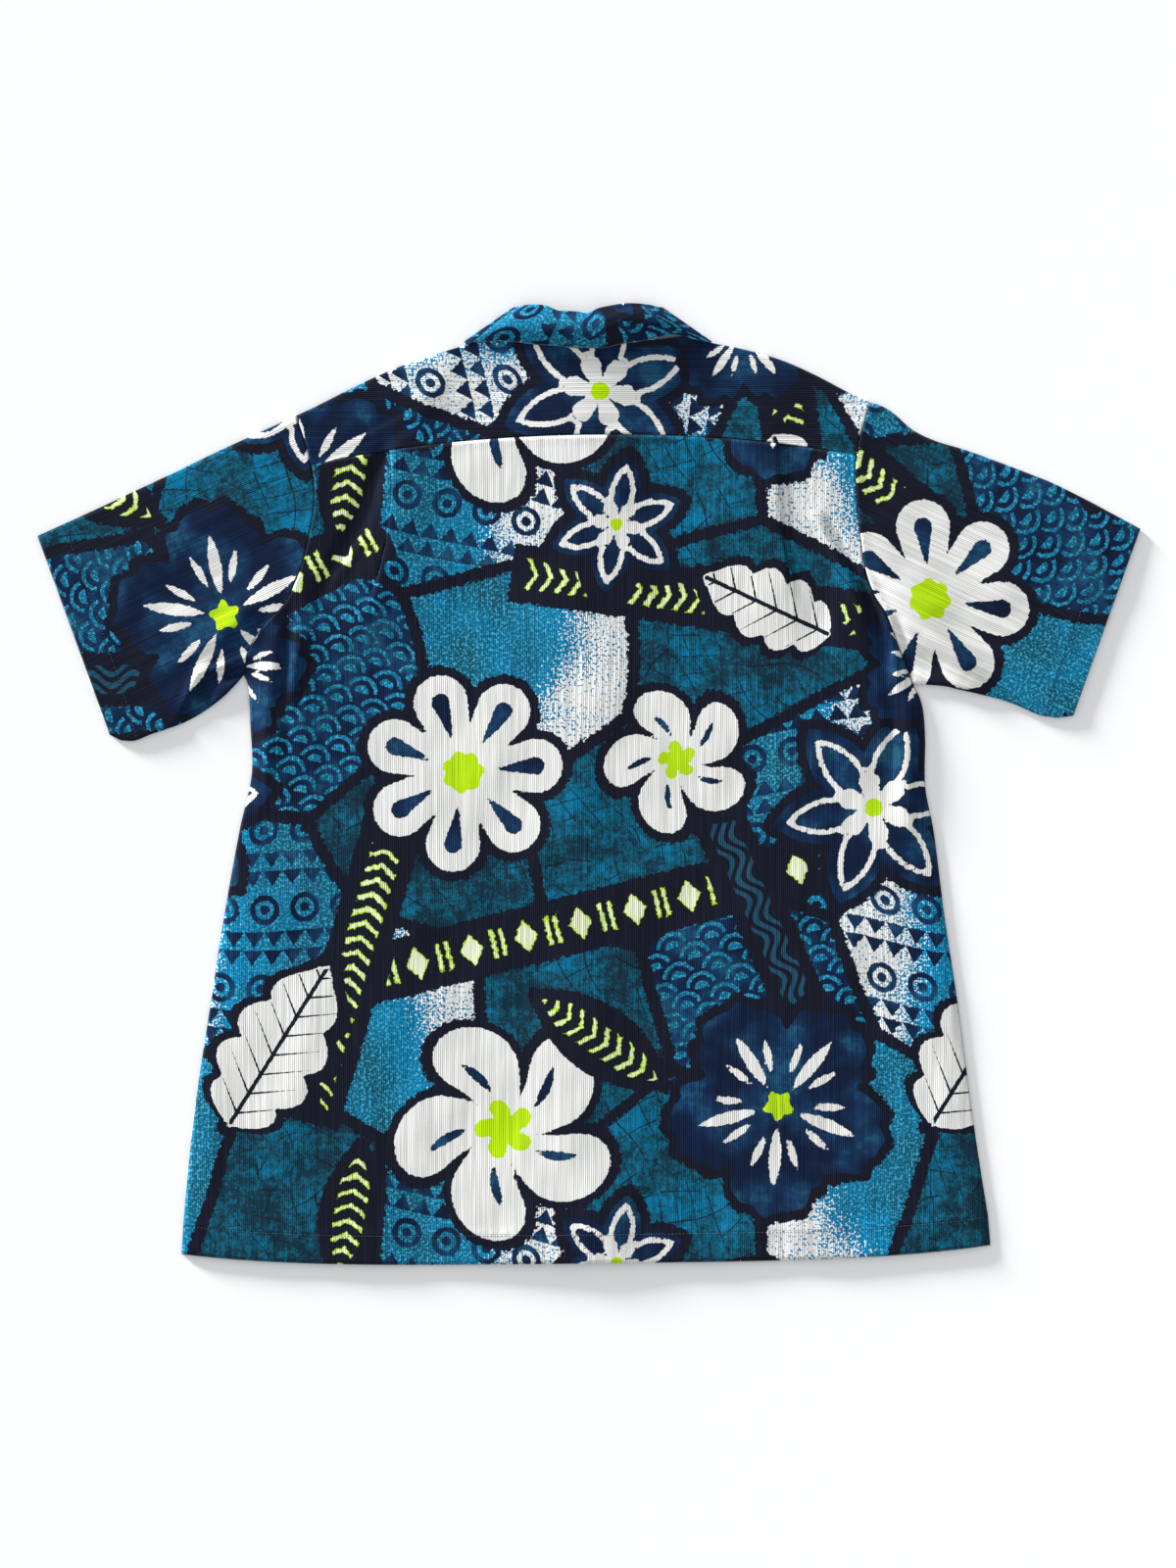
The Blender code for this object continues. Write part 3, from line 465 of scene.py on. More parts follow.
def yoke_side(armhole, side):
    """Columns from a front seam round the shoulder's fold to the yoke's corner on the back."""
    neck = np.array(FRONT_NECK, float) * (-side, 1)
    shoulder_out = np.array((SHOULDER_OUT[0] * side, SHOULDER_OUT[1]))
    columns = []
    for i in range(YOKE_STEPS, 0, -1):
        gap = shoulder_out * (SEAM_GAP if i == YOKE_STEPS else 0)
        inner = spline(neck[:YOKE_FRONT_POINT + 1], i / YOKE_STEPS) + gap
        columns.append(yoke_column(inner, armhole[i] + gap, 0.0))
    rounds = []
    for share in YOKE_SHARES:
        outward = mix(shoulder_out, unit(armhole[0] - armhole[1]), share)
        bulge = SHOULDER_BULGE[side] * math.sin(math.pi * share) ** 1.5
        place = mix(neck[0], armhole[0], share) + outward * bulge
        lift = yoke_lift(*place)
        fold = around_fold(place, unit(outward), half_gap(*place) + lift / 2)
        rounds.append([(x, y, layer, lift * layer, 1.0) for x, y, layer in fold])
    columns += list(zip(*rounds))[::-1]
    for i in range(1, YOKE_STEPS):
        columns.append(yoke_column(neck_back(YOKE_END * i / YOKE_STEPS, side), armhole[i], 1.0))
    return columns


def neck_back(share, side=-1):
    """A point of the back neckline, from its side at share 0 to the other side at share 1."""
    x = mix(NECK_SIDE[0], -NECK_SIDE[0], share) * -side
    return np.array((x, NECK_BACK_Y + (NECK_SIDE[1] - NECK_BACK_Y) * (2 * share - 1) ** 4))


def yoke_form():
    """The yoke from its front seam on the left, over the back, to its front seam on the right."""
    left, right = (shoulder_points(side) for side in SIDES)
    columns = yoke_side(left, -1)
    for i in range(YOKE_BACK_STEPS + 1):
        share = i / YOKE_BACK_STEPS
        x, y = row_point({-1: left[-1], 1: right[-1]}, share, 1)
        inner = neck_back(mix(YOKE_END, 1 - YOKE_END, share))
        columns.append(yoke_column(inner, (x, y + SEAM_GAP), 1.0))
    return np.array(columns + yoke_side(right, 1)[::-1])


def collar_rows(neck, fold, free, over, bulge=0.0):
    """A collar section from neck seam to free edge: the stand, its fold and the fall."""
    inside = fold - unit(fold - neck) * COLLAR_CURL
    half = np.array((0, 0, over * COLLAR_HALF_FOLD))
    fall = [inside + half]
    for share in (0.3, 0.65, 1.0):
        fall.append(mix(fall[0], free, share) + (0, 0, bulge * math.sin(math.pi * share)))
    return [neck, mix(neck, fold, 0.5), inside - half, fold, *fall]


def collar_back_section(share):
    """The collar's section across the back, from the left crease to the right one."""
    fold_y, fold_z = table_at(BACK_FOLD, share)
    free_y, free_rise = table_at(BACK_FREE, share)
    fold_x, free_x = (mix(x, -x, share) for x in (LEAF_FOLD[0][0], LEAF_FREE[0][0]))
    inner = neck_back(share)
    at_side = max(1 - 8 * min(share, 1 - share), 0)
    inward = unit(np.array((math.copysign(at_side, 0.5 - share), 1 - 0.6 * at_side)))
    neck = np.array((*(inner + inward * SEAM_GAP), top_level(*inner)))
    fold = np.array((fold_x, fold_y, fold_z))
    free = np.array((free_x, free_y, top_level(free_x, free_y) + free_rise))
    return collar_rows(neck, fold, free, 1, FALL_BULGE * max(math.sin(math.pi * share), 0) ** 0.6)


def collar_leaf_section(share):
    """The left leaf's section, from the crease at share 0 to the leaf's front edge."""
    inner, fold, free = (spline(points, share) for points in (FRONT_NECK, LEAF_FOLD, LEAF_FREE))
    neck = np.array((inner[0] + SEAM_GAP, inner[1] + SEAM_GAP * 0.4, low_level(*inner)))
    return collar_rows(neck, np.array((*fold, REST + COLLAR_HALF_FOLD)), np.array((*free, REST)), -1)


def collar_form():
    """x, y, z of the collar from its left leaf's front edge, round the neck, to the right one's."""
    leaf = [collar_leaf_section(s) for s in LEAF_STEPS]
    back = [collar_back_section(i / COLLAR_BACK_STEPS) for i in range(COLLAR_BACK_STEPS + 1)]
    crease = []
    for low, high, out in zip(collar_leaf_section(0.0), back[0], CREASE_OUT):
        outward = mix(np.array((-SHOULDER_OUT[0], SHOULDER_OUT[1])), np.array(CREASE_OUTWARD), min(out, 1))
        fold = around_fold(high[:2] + outward * out, outward, (high[2] - low[2]) / 2)
        crease.append([np.array((x, y, mix(low[2], high[2], layer))) for x, y, layer in fold])
    left = leaf + list(zip(*crease))[::-1]
    right = [[p * (-1, 1, 1) for p in section] for section in reversed(left)]
    return np.array(left + back[1:-1] + right)


def run_lengths(points):
    """Distance of each point from the first, along their line."""
    return np.concatenate([[0], np.cumsum(np.linalg.norm(np.diff(points, axis=0), axis=1))])


def armhole_seam(side):
    """A sleeve's seam from the shoulder to the underarm, just outside its armhole."""
    armhole = shoulder_points(side) + [row[side] for row in ROWS[-2:UNDERARM_ROW - 1:-1]]
    seam = []
    for i, point in enumerate(armhole):
        along = armhole[min(i + 1, len(armhole) - 1)] - armhole[max(i - 1, 0)]
        seam.append(point + unit(np.array((-along[1], along[0]))) * side * SEAM_GAP)
    return seam


def sleeve_share(i):
    """Share along a sleeve of ring i, with two rings close together at its hem."""
    hem = 1 - CUFF_HEM / SLEEVE_LENGTH
    if i >= SLEEVE_STEPS - 1:
        return 1.0 if i == SLEEVE_STEPS else hem
    return (hem - HEM_STEP / SLEEVE_LENGTH) * i / (SLEEVE_STEPS - 2)


def sleeve_form(side):
    """A sleeve's rings from armhole to cuff, each over its top layer and back under it."""
    seam = armhole_seam(side)
    lengths = run_lengths(seam)
    shares = lengths / lengths[-1]
    grid = []
    for i in range(SLEEVE_STEPS + 1):
        along = sleeve_share(i)
        start = spline([seam[0], *SLEEVE_TOP[side]], along)
        end = spline([seam[-1], *SLEEVE_UNDER[side]], along)
        bend = (1 - ease(along)) ** 1.5
        line = [mix(start, end, s) + (p - mix(seam[0], seam[-1], s)) * bend for p, s in zip(seam, shares)]
        up = unit(mix(unit(start - end), unit(seam[0] - seam[1]), bend))
        down = unit(mix(unit(end - start), unit(seam[-1] - seam[-2]), bend))
        folds = []
        for place, out in ((0, up), (-1, down)):
            half = half_gap(*line[place])
            folds.append(around_fold(line[place], out, half))
            line[place] = line[place] - out * half
        ring = [(*p, 1.0) for p in line] + folds[1] + [(*p, 0.0) for p in line[::-1]] + folds[0][::-1]
        grid.append([(*p, 0.0, 1.0) for p in ring[::side]])
    return np.array(grid)


# ---------- fine surfaces ----------

def steps_between(grid, spacing):
    """The gaps between a grid's rows, and how many fine steps each takes."""
    places = grid if grid.shape[2] == 3 else grid[..., :2]
    gaps = np.linalg.norm(np.diff(places, axis=0), axis=2)
    return np.maximum(gaps, 0.3), np.maximum(np.ceil(gaps.max(1) / spacing), 1).astype(int)


def smooth_rows(grid, gaps, counts):
    """More rows, on smooth curves through the grid's own rows."""
    width = gaps[..., None]
    slopes = np.empty_like(grid)
    slopes[1:-1] = (grid[2:] - grid[:-2]) / (width[1:] + width[:-1])
    slopes[0], slopes[-1] = (grid[1] - grid[0]) / width[0], (grid[-1] - grid[-2]) / width[-1]
    lines = []
    for i, count in enumerate(counts):
        leave, arrive = slopes[i] * width[i], slopes[i + 1] * width[i]
        lines += [cubic(grid[i], leave, grid[i + 1], arrive, t) for t in np.arange(count) / count]
    return np.array([*lines, grid[-1]])


def refined(grid, spacing, closed=False):
    """The grid with points this far apart. A closed grid's columns go round."""
    grid = smooth_rows(grid, *steps_between(grid, spacing))
    if closed:
        grid = np.concatenate([grid[:, -2:], grid, grid[:, :3]], axis=1)
    turned = grid.transpose(1, 0, 2)
    gaps, counts = steps_between(turned, spacing)
    fine = smooth_rows(turned, gaps, counts)
    if closed:
        fine = fine[counts[:2].sum():-counts[-2:].sum() - 1]
    return fine.transpose(1, 0, 2)


def settled(form, spacing, closed=False):
    """x, y, z and layer of a form's fine points, with all its creases."""
    x, y, layer, lift, rounding = np.moveaxis(refined(form, spacing, closed), 2, 0)
    floor_gap = low_level(x, y)
    low = floor_gap + np.maximum(raised(UNDER_CREASES, x, y), 0)
    high = top_level(x, y) + raised(CREASES, x, y) + ripples(x, y)
    z = mix(low, np.maximum(high, low + LEAST_GAP), layer) + lift
    z = mix(EDGE_TOP + floor_gap - REST, z, np.clip(rounding, 0, 1))
    return np.stack([x, y, z, np.clip(layer, 0, 1)], axis=2)


def normals_of(points, closed=False):
    """A unit normal for each point of a grid."""
    if closed:
        across = np.roll(points, -1, 1) - np.roll(points, 1, 1)
    else:
        across = np.gradient(points, axis=1)
    normals = np.cross(across, np.gradient(points, axis=0))
    return normals / np.maximum(np.linalg.norm(normals, axis=2, keepdims=True), 1e-9)


def new_object(name, data):
    """An object that is in the scene."""
    made = bpy.data.objects.new(name, data)
    bpy.context.scene.collection.objects.link(made)
    return made


def new_mesh(name, points, faces, material):
    """A smooth object from points in millimetres."""
    mesh = bpy.data.meshes.new(name)
    mesh.from_pydata((np.reshape(points, (-1, 3)) * MM).tolist(), [], faces)
    mesh.shade_smooth()
    mesh.materials.append(material)
    return new_object(name, mesh)


def shell(name, points, thick, closed, material):
    """A closed cloth wall round a grid of points: its face side, its back side and its rims."""
    rows, columns = points.shape[:2]
    normals = normals_of(points, closed)
    thick = np.broadcast_to(thick, (rows, columns))[..., None]
    walls = np.stack([points + normals * CLOTH_WALL / 2, points + normals * (CLOTH_WALL / 2 - thick)])
    walls[..., 2] = np.maximum(walls[..., 2], LOWEST)
    count = rows * columns
    index = np.arange(count).reshape(rows, columns)
    if closed:
        index = np.concatenate([index, index[:, :1]], axis=1)
    a, b, c, d = index[:-1, :-1], index[:-1, 1:], index[1:, 1:], index[1:, :-1]
    quads = [np.stack([a, b, c, d], 2).reshape(-1, 4), count + np.stack([a, d, c, b], 2).reshape(-1, 4)]
    rims = [index[0, ::-1], index[-1]]
    if not closed:
        rims += [index[:, 0], index[::-1, -1]]
    for rim in rims:
        quads.append(np.stack([rim[:-1], rim[1:], count + rim[1:], count + rim[:-1]], 1))
    return new_mesh(name, walls, np.concatenate(quads).tolist(), material)


# ---------- the print, in millimetres on the flat cloth ----------
# A patchwork of irregular fields with torn black edges, crossed by bands, with flowers and leaves.

REPEAT = (590.0, 620.0)
MOTTLE, TEETH, SCALES, SPATTER, DIAMONDS, LADDER, WAVES, LEAF = range(8)
FIELDS = (  # x, y of the middle, kind, turn in degrees, tone
    (70, 60, MOTTLE, 0, 0.6),
    (225, 50, TEETH, 80, 0.5),
    (395, 90, MOTTLE, 0, 0.8),
    (535, 100, SPATTER, -60, 0.5),
    (150, 215, SPATTER, 110, 0.5),
    (300, 210, MOTTLE, 0, 0.55),
    (450, 240, SCALES, 12, 0.5),
    (30, 300, TEETH, -95, 0.5),
    (195, 380, MOTTLE, 0, 0.45),
    (365, 385, MOTTLE, 0, 0.75),
    (515, 400, TEETH, 100, 0.5),
    (90, 490, SCALES, -20, 0.5),
    (265, 530, SPATTER, 70, 0.5),
    (440, 540, MOTTLE, 0, 0.7),
)
BANDS = (  # x, y of the middle, length, half width, turn in degrees, kind
    (300, 300, 430, 19, 14, DIAMONDS),
    (128, 285, 300, 20, 74, LADDER),
    (470, 300, 330, 17, -66, WAVES),
    (420, 575, 320, 19, -8, LADDER),
    (60, 585, 190, 18, 28, DIAMONDS),
)
TORN_EDGE = 10.5  # width of the black edges
BAND_EDGE = 6.0
RIM = 8.5  # of black round a flower or a leaf
STAR_LINE = 2.2  # half the width of the line inside a star's edge
FAR = 50.0  # outside every shape


def from_middle(u, v, x, y, turn):
    """Offsets from the nearest repeat of a motif's middle, along and across the motif."""
    du = (u - x + REPEAT[0] / 2) % REPEAT[0] - REPEAT[0] / 2
    dv = (v - y + REPEAT[1] / 2) % REPEAT[1] - REPEAT[1] / 2
    c, s = math.cos(math.radians(turn)), math.sin(math.radians(turn))
    return du * c + dv * s, dv * c - du * s


class Print:
    """Distances inwards from the edge of each colour, and the pattern, at points of the cloth."""

    def __init__(self, points):
        self.colours = {name: np.full_like(points, -FAR) for name in ("ink", "white", "lime", "navy", "band")}
        self.pattern = [np.zeros_like(points)] * 4

    def mark(self, here, *pattern):
        """Sets the kind of pattern, the place along and across it and its tone, where here is true."""
        self.pattern = [np.where(here, new, old) for new, old in zip(pattern, self.pattern)]

    def shape(self, inside, fill, rim=0.0, pattern=(MOTTLE, 0.0, 0.0, 0.0)):
        """Paints a shape and its rim of ink over what is there. inside is the distance inwards."""
        for name, distance in self.colours.items():
            if name != "ink" and (fill, name) != ("lime", "white"):
                self.colours[name] = np.minimum(distance, -inside - rim)
        if rim:
            self.colours["ink"] = np.maximum(self.colours["ink"], inside + rim)
        self.colours[fill] = np.maximum(self.colours[fill], inside)
        self.mark(inside > 0, *pattern)

    def band(self, inside, kind, along, across):
        """Paints a black shape that carries a band's bright marks."""
        self.shape(inside, "ink", BAND_EDGE, (kind, along, across, 0.0))
        self.colours["band"] = np.maximum(self.colours["band"], inside)


def paint_fields(made, u, v):
    """The patchwork: each field is what lies nearest to its middle."""
    u = u + 5 * np.sin(v / 47) + 2 * np.sin(v / 19 + 1)
    v = v + 5 * np.sin(u / 53 + 2) + 2 * np.sin(u / 23)
    places = [from_middle(u, v, x, y, 0) for x, y, _, _, _ in FIELDS]
    squares = np.array([du**2 + dv**2 for du, dv in places])
    nearest = squares.argmin(0)
    edge = np.full_like(u, 1e3)
    for i, (du, dv) in enumerate(places):
        for j, (other_u, other_v) in enumerate(places):
            if i != j:
                apart = np.maximum(np.hypot(du - other_u, dv - other_v), 1.0)
                to_edge = (squares[j] - squares[i]) / (2 * apart)
                edge = np.where(nearest == i, np.minimum(edge, to_edge), edge)
    made.colours["ink"] = TORN_EDGE / 2 - edge
    for i, (x, y, kind, turn, tone) in enumerate(FIELDS):
        made.mark(nearest == i, kind, *from_middle(u, v, x, y, turn), tone)


def paint_bands(made, u, v):
    for x, y, length, half, turn, kind in BANDS:
        along, across = from_middle(u, v, x, y, turn)
        inside = np.minimum(length / 2 - np.abs(along), half - np.abs(across))
        made.band(inside, kind, along, across)


# Flowers: place is (along, across) from the middle, and all sizes are shares of the flower's size

def petal_places(place, count, start, curl, size):
    """Distance out along the middle of the nearest of a ring of petals, and to its side."""
    radius = np.hypot(*place)
    angle = np.arctan2(place[1], place[0]) - math.radians(start) - curl * radius / size
    sector = 2 * math.pi / count
    angle = (angle + sector / 2) % sector - sector / 2
    return radius * np.cos(angle), radius * np.abs(np.sin(angle))


def blunt(place, count, inner, outer, root, tip, start=0.0, curl=0.0):
    """Distance inwards of a ring of petals that widen from a root radius to a tip radius."""
    out, side = petal_places(place, count, start, curl, outer)
    out = out - inner
    length = outer - tip - inner
    slope = (root - tip) / length
    square = math.sqrt(1 - slope * slope)
    past_root = square * out - slope * side
    between = root - (square * side + slope * out)
    at_root, at_tip = root - np.hypot(side, out), tip - np.hypot(side, out - length)
    return np.where(past_root < 0, at_root, np.where(past_root > square * length, at_tip, between))


def slim(place, count, inner, outer, width, start=0.0, curl=0.0):
    """Distance inwards of a ring of pointed petals, this wide on each side of their middles."""
    out, side = petal_places(place, count, start, curl, outer)
    half_length = (outer - inner) / 2
    radius = (half_length**2 + width**2) / (2 * width)
    return radius - np.hypot(side + radius - width, out - (inner + outer) / 2)


def disc(place, radius, waves=0, depth=0.0):
    """Distance inwards of a disc, with a wavy edge."""
    return radius + depth * np.cos(waves * np.arctan2(place[1], place[0])) - np.hypot(*place)


def plumeria(made, place, size):
    """A white flower of five turned petals with a lime heart."""
    made.shape(size * blunt(place, 5, 0, 1, 0.05, 0.34, 0, 0.5), "white", RIM)
    made.shape(size * slim(place, 5, 0.33, 0.72, 0.045, 4, 0.5), "navy")
    made.shape(size * blunt(place, 5, 0, 0.27, 0.05, 0.085, 0, 0.3), "lime")


def daisy(made, place, size):
    """A white flower of seven blunt petals with a navy drop on each, round a lime heart."""
    made.shape(size * blunt(place, 7, 0, 1, 0.1, 0.27), "white", RIM)
    made.shape(size * blunt(place, 7, 0.36, 0.82, 0.012, 0.09), "navy")
    made.shape(size * disc(place, 0.2, 7, 0.02), "lime")


def hibiscus(made, place, size):
    """A navy flower of five frilled petals with white streaks round a lime heart."""
    angle = np.arctan2(place[1], place[0])
    frill = 2.2 * np.sin(19 * angle) + 1.2 * np.sin(31 * angle)
    made.shape(size * blunt(place, 5, 0, 1, 0.2, 0.42) + frill, "navy", RIM)
    for streak in ((0.18, 0.76, 0.055, 0), (0.3, 0.62, 0.035, 20), (0.3, 0.62, 0.035, -20)):
        made.shape(size * slim(place, 5, *streak), "white")
    made.shape(size * disc(place, 0.12, 5, 0.025), "lime")


def star(made, place, size):
    """A navy flower of six pointed petals, lined in white inside its edge, with a small white flower."""
    inside = np.maximum(slim(place, 6, -0.1, 1, 0.27), disc(place, 0.5))
    made.shape(size * inside, "navy", RIM)
    made.shape(STAR_LINE - size * np.abs(inside - 0.12), "white")
    made.shape(size * blunt(place, 6, 0, 0.36, 0.03, 0.1, 30), "white")
    made.shape(size * disc(place, 0.09), "lime")


def leaf_share(along):
    """Share of the way from a leaf's stem to its tip."""
    return np.clip(along / 2 + 0.5, 0, 1)


def lobed_leaf(made, place, size):
    """A white leaf with deep lobes and dark veins."""
    along, across = size * place[0], size * place[1]
    share = leaf_share(place[0])
    lobes = 0.66 + 0.34 * np.abs(np.sin(4.2 * math.pi * share**0.9)) ** 0.7
    half = size * 0.56 * np.sin(math.pi * share**0.8) ** 0.6 * lobes
    inside = np.minimum(half - np.abs(across), size + 2 - np.abs(along))
    made.shape(inside, "white", RIM, (LEAF, along, across, 0.0))


def palm_leaf(made, place, size):
    """A lens of black with bright leaflets on both sides of its middle."""
    along, across = size * place[0], size * place[1]
    half = size * 0.36 * np.sin(math.pi * leaf_share(place[0])) ** 0.8
    made.band(np.minimum(half - np.abs(across), size - np.abs(along)), LADDER, along, across)


MOTIFS = (  # how it is drawn, x, y, size, turn in degrees
    (hibiscus, 480, 150, 92, 50),
    (plumeria, 250, 130, 94, 20),
    (lobed_leaf, 60, 200, 78, 58),
    (star, 560, 400, 86, 10),
    (daisy, 215, 430, 84, 5),
    (palm_leaf, 330, 205, 66, -35),
    (plumeria, 395, 440, 62, 15),
    (hibiscus, 20, 520, 62, 70),
    (star, 344, 18, 58, 20),
    (lobed_leaf, 470, 570, 58, 155),
    (palm_leaf, 120, 60, 58, 80),
)


def printed(u, v):
    """Everything printed at these points of the cloth."""
    made = Print(u)
    paint_fields(made, u, v)
    paint_bands(made, u, v)
    for draw, x, y, size, turn in MOTIFS:
        draw(made, np.array(from_middle(u, v, x, y, turn)) / size, size)
    return made


# ---------- materials ----------

def linear(*colour):
    """Linear values of a colour given as it shows, 0 to 255."""
    return tuple(((c / 255 + 0.055) / 1.055) ** 2.4 if c > 10 else c / 255 / 12.92 for c in colour)


class Value:
    """A node's output. Sums, differences and products of values add their own nodes."""

    def __init__(self, graph, socket):
        self.graph, self.socket = graph, socket

    def __add__(self, other):
        return self.graph.math("ADD", self, other)

    def __sub__(self, other):
        return self.graph.math("SUBTRACT", self, other)

    def __rsub__(self, other):
        return self.graph.math("SUBTRACT", other, self)

    def __mul__(self, other):
        return self.graph.math("MULTIPLY", self, other)

    def __abs__(self):
        return self.graph.math("ABSOLUTE", self)


class Graph:
    """A material's nodes: most methods add one and give its output."""

    def __init__(self, name):
        self.material = bpy.data.materials.new(name)
        self.material.use_nodes = True
        self.tree = self.material.node_tree

    def put(self, socket, value):
        if isinstance(value, Value):
            self.tree.links.new(value.socket, socket)
        elif isinstance(value, tuple):
            socket.default_value = (*value, 1)
        else:
            socket.default_value = value

    def node(self, kind, inputs, output=0, **settings):
        """Adds a node, sets it up, fills its inputs and gives one of its outputs."""
        node = self.tree.nodes.new(f"ShaderNode{kind}")
        for name, setting in settings.items():
            setattr(node, name, setting)
        for key, value in inputs.items():
            self.put(node.inputs[key], value)
        return Value(self, node.outputs[output])

    def math(self, operation, a, b=0.0, c=0.0):
        return self.node("Math", {0: a, 1: b, 2: c}, operation=operation)

    def joined(self, first, *others, operation="MAXIMUM"):
        """Distance inwards of shapes taken together."""
        for other in others:
            first = self.math(operation, first, other)
        return first

    def common(self, *shapes):
        """Distance inwards of what shapes have in common."""
        return self.joined(*shapes, operation="MINIMUM")

    def radius(self, x, y):
        return self.math("SQRT", x * x + y * y)

    def parts(self, vector):
        """The three numbers of a vector."""
        split = self.tree.nodes.new("ShaderNodeSeparateXYZ")
        self.put(split.inputs[0], vector)
        return [Value(self, output) for output in split.outputs]

    def carried(self, name):
        """Three numbers that the points carry."""
        return self.parts(self.node("Attribute", {}, "Vector", attribute_name=name))

    def object_place(self):
        """A point's place on the object, in metres."""
        return self.parts(self.node("TexCoord", {}, "Object"))

    def noise(self, place, size, detail=1.0, rough=0.5, stretch=1.0, seed=0.0):
        """Noise from 0 to 1 whose blots are this wide, and stretched along v."""
        at = self.node("CombineXYZ", {0: place[0] * (1 / size), 1: place[1] * (1 / size / stretch), 2: seed})
        inputs = {"Vector": at, "Scale": 1.0, "Detail": detail, "Roughness": rough}
        return self.node("TexNoise", inputs, "Fac")

    def smooth(self, value, low, high):
        """0 below low and 1 above high, or the other way about."""
        ends = {"From Min": min(low, high), "From Max": max(low, high),
                "To Min": float(low > high), "To Max": float(low <= high)}
        return self.node("MapRange", {"Value": value, **ends}, "Result", interpolation_type="SMOOTHSTEP")

    def inside(self, distance, softness=0.35):
        return self.smooth(distance, -softness, softness)

    def is_kind(self, kinds, kind):
        return self.math("COMPARE", kinds, kind, 0.3)

    def mix(self, a, b, share):
        """A colour between two."""
        return self.node("Mix", {0: share, 6: a, 7: b}, 2, data_type="RGBA", clamp_factor=True)

    def mix_number(self, a, b, share):
        return self.node("Mix", {0: share, 2: a, 3: b})

    def shade(self, colour, factor):
        """A colour times a number."""
        return self.node("VectorMath", {0: colour, "Scale": factor}, operation="SCALE")

    def repeat(self, value, length):
        """Distance from the start of each repeat of this length."""
        return self.math("FRACT", value * (1 / length)) * length

    def off_middle(self, value, length, middle=0.5):
        """Distance from the middle of each repeat, or from another share of it."""
        return abs(self.math("FRACT", value * (1 / length)) - middle) * length

    def finished(self, colour, height, proud, roughness, specular=0.5, sheen=0.0):
        """The material. Its relief stands a height of 0 to 1 times this many millimetres proud."""
        relief = {"Strength": 1.0, "Distance": proud * MM, "Height": height}
        inputs = {"Base Color": colour, "Normal": self.node("Bump", relief, "Normal"), "Roughness": roughness,
                  "Specular IOR Level": specular, "Sheen Weight": sheen}
        for name, value in inputs.items():
            self.put(self.tree.nodes["Principled BSDF"].inputs[name], value)
        return self.material


# Print colours, as they show in even light
INK = linear(20, 23, 38)
WHITE = linear(226, 226, 222)
LIME = linear(178, 220, 18)
LIME_PALE = linear(222, 238, 170)
TEAL_DARK = linear(16, 50, 66)
TEAL = linear(13, 85, 108)
BLUE = linear(4, 114, 156)
SPRAY_BLUE = linear(0, 124, 170)
SPRAY_PALE = linear(84, 184, 214)
NAVY_DARK = linear(12, 28, 56)
NAVY_MID = linear(18, 50, 86)
NAVY_PALE = linear(34, 92, 120)
INSIDE = linear(150, 165, 172)  # over the print, where the cloth's back shows
THREAD_WORN = linear(58, 74, 98)
SHELL_DARK = linear(62, 38, 24)
SHELL_MID = linear(124, 84, 52)
SHELL_PALE = linear(190, 152, 104)

# Cloth surface, in millimetres
RIB = 1.65
RIB_BEND, RIB_BEND_SIZE = 3.0, 80.0
RIB_DEPTH = 0.14
PUCKER_DEPTH = 0.7
THREAD_TWIST = 0.0006  # in metres

# Drawn patterns, in millimetres
DOT, BLOT, POOL, ROUGH = 2.3, 7.5, 42.0, 3.8  # widths of the noises' blots
TORN, SLIGHT = 8.0, 3.0  # how far the roughness moves the black edges and the other ones
SCRATCHES = (  # turn in degrees, spacing, from and to on the noise that breaks the lines up
    (24, 17.0, 0.5, 0.53), (71, 23.0, 0.46, 0.43), (112, 19.0, 0.54, 0.57), (158, 29.0, 0.43, 0.4),
)
SCRATCH_BEND = 60.0
SCRATCH_HALF = 0.55
LANE = 66.0  # of two rows of triangles and a row of rings
TOOTH_PITCH, TOOTH_HEIGHT, TOOTH_SLOPE, SECOND_ROW = 17.0, 13.0, 1.55, 15.5
RING_ROW, RING_PITCH, RING_RADIUS, RING_HALF, RING_DOT = 47.5, 34.0, 10.2, 2.3, 4.0
SCALE, SCALE_STEP, SCALE_RIM = 17.0, 13.0, 3.2
SCALE_HEART, SCALE_HEART_HALF = 8.4, 2.2
MARK_REACH = 12.5  # of the bands' marks from the band's middle
DIAMOND_PITCH, DIAMOND_HALF, DIAMOND_SLOPE = 47.0, 10.0, 0.72
BAR_OFF, BAR_HALF, BAR_REACH = 3.9, 1.9, 12.0
RUNG_PITCH, RUNG_SLOPE = 12.6, 0.55
WAVE_LENGTH, WAVE_SWING, WAVE_HALF = 36.0, 5.5, 2.6
SIDE_WAVE_OFF, SIDE_WAVE_HALF = 9.5, 2.3
VEIN_PITCH, VEIN_SLOPE, VEIN_HALF = 19.0, 0.75, 1.1
EVEN_SPRAY = 1.15


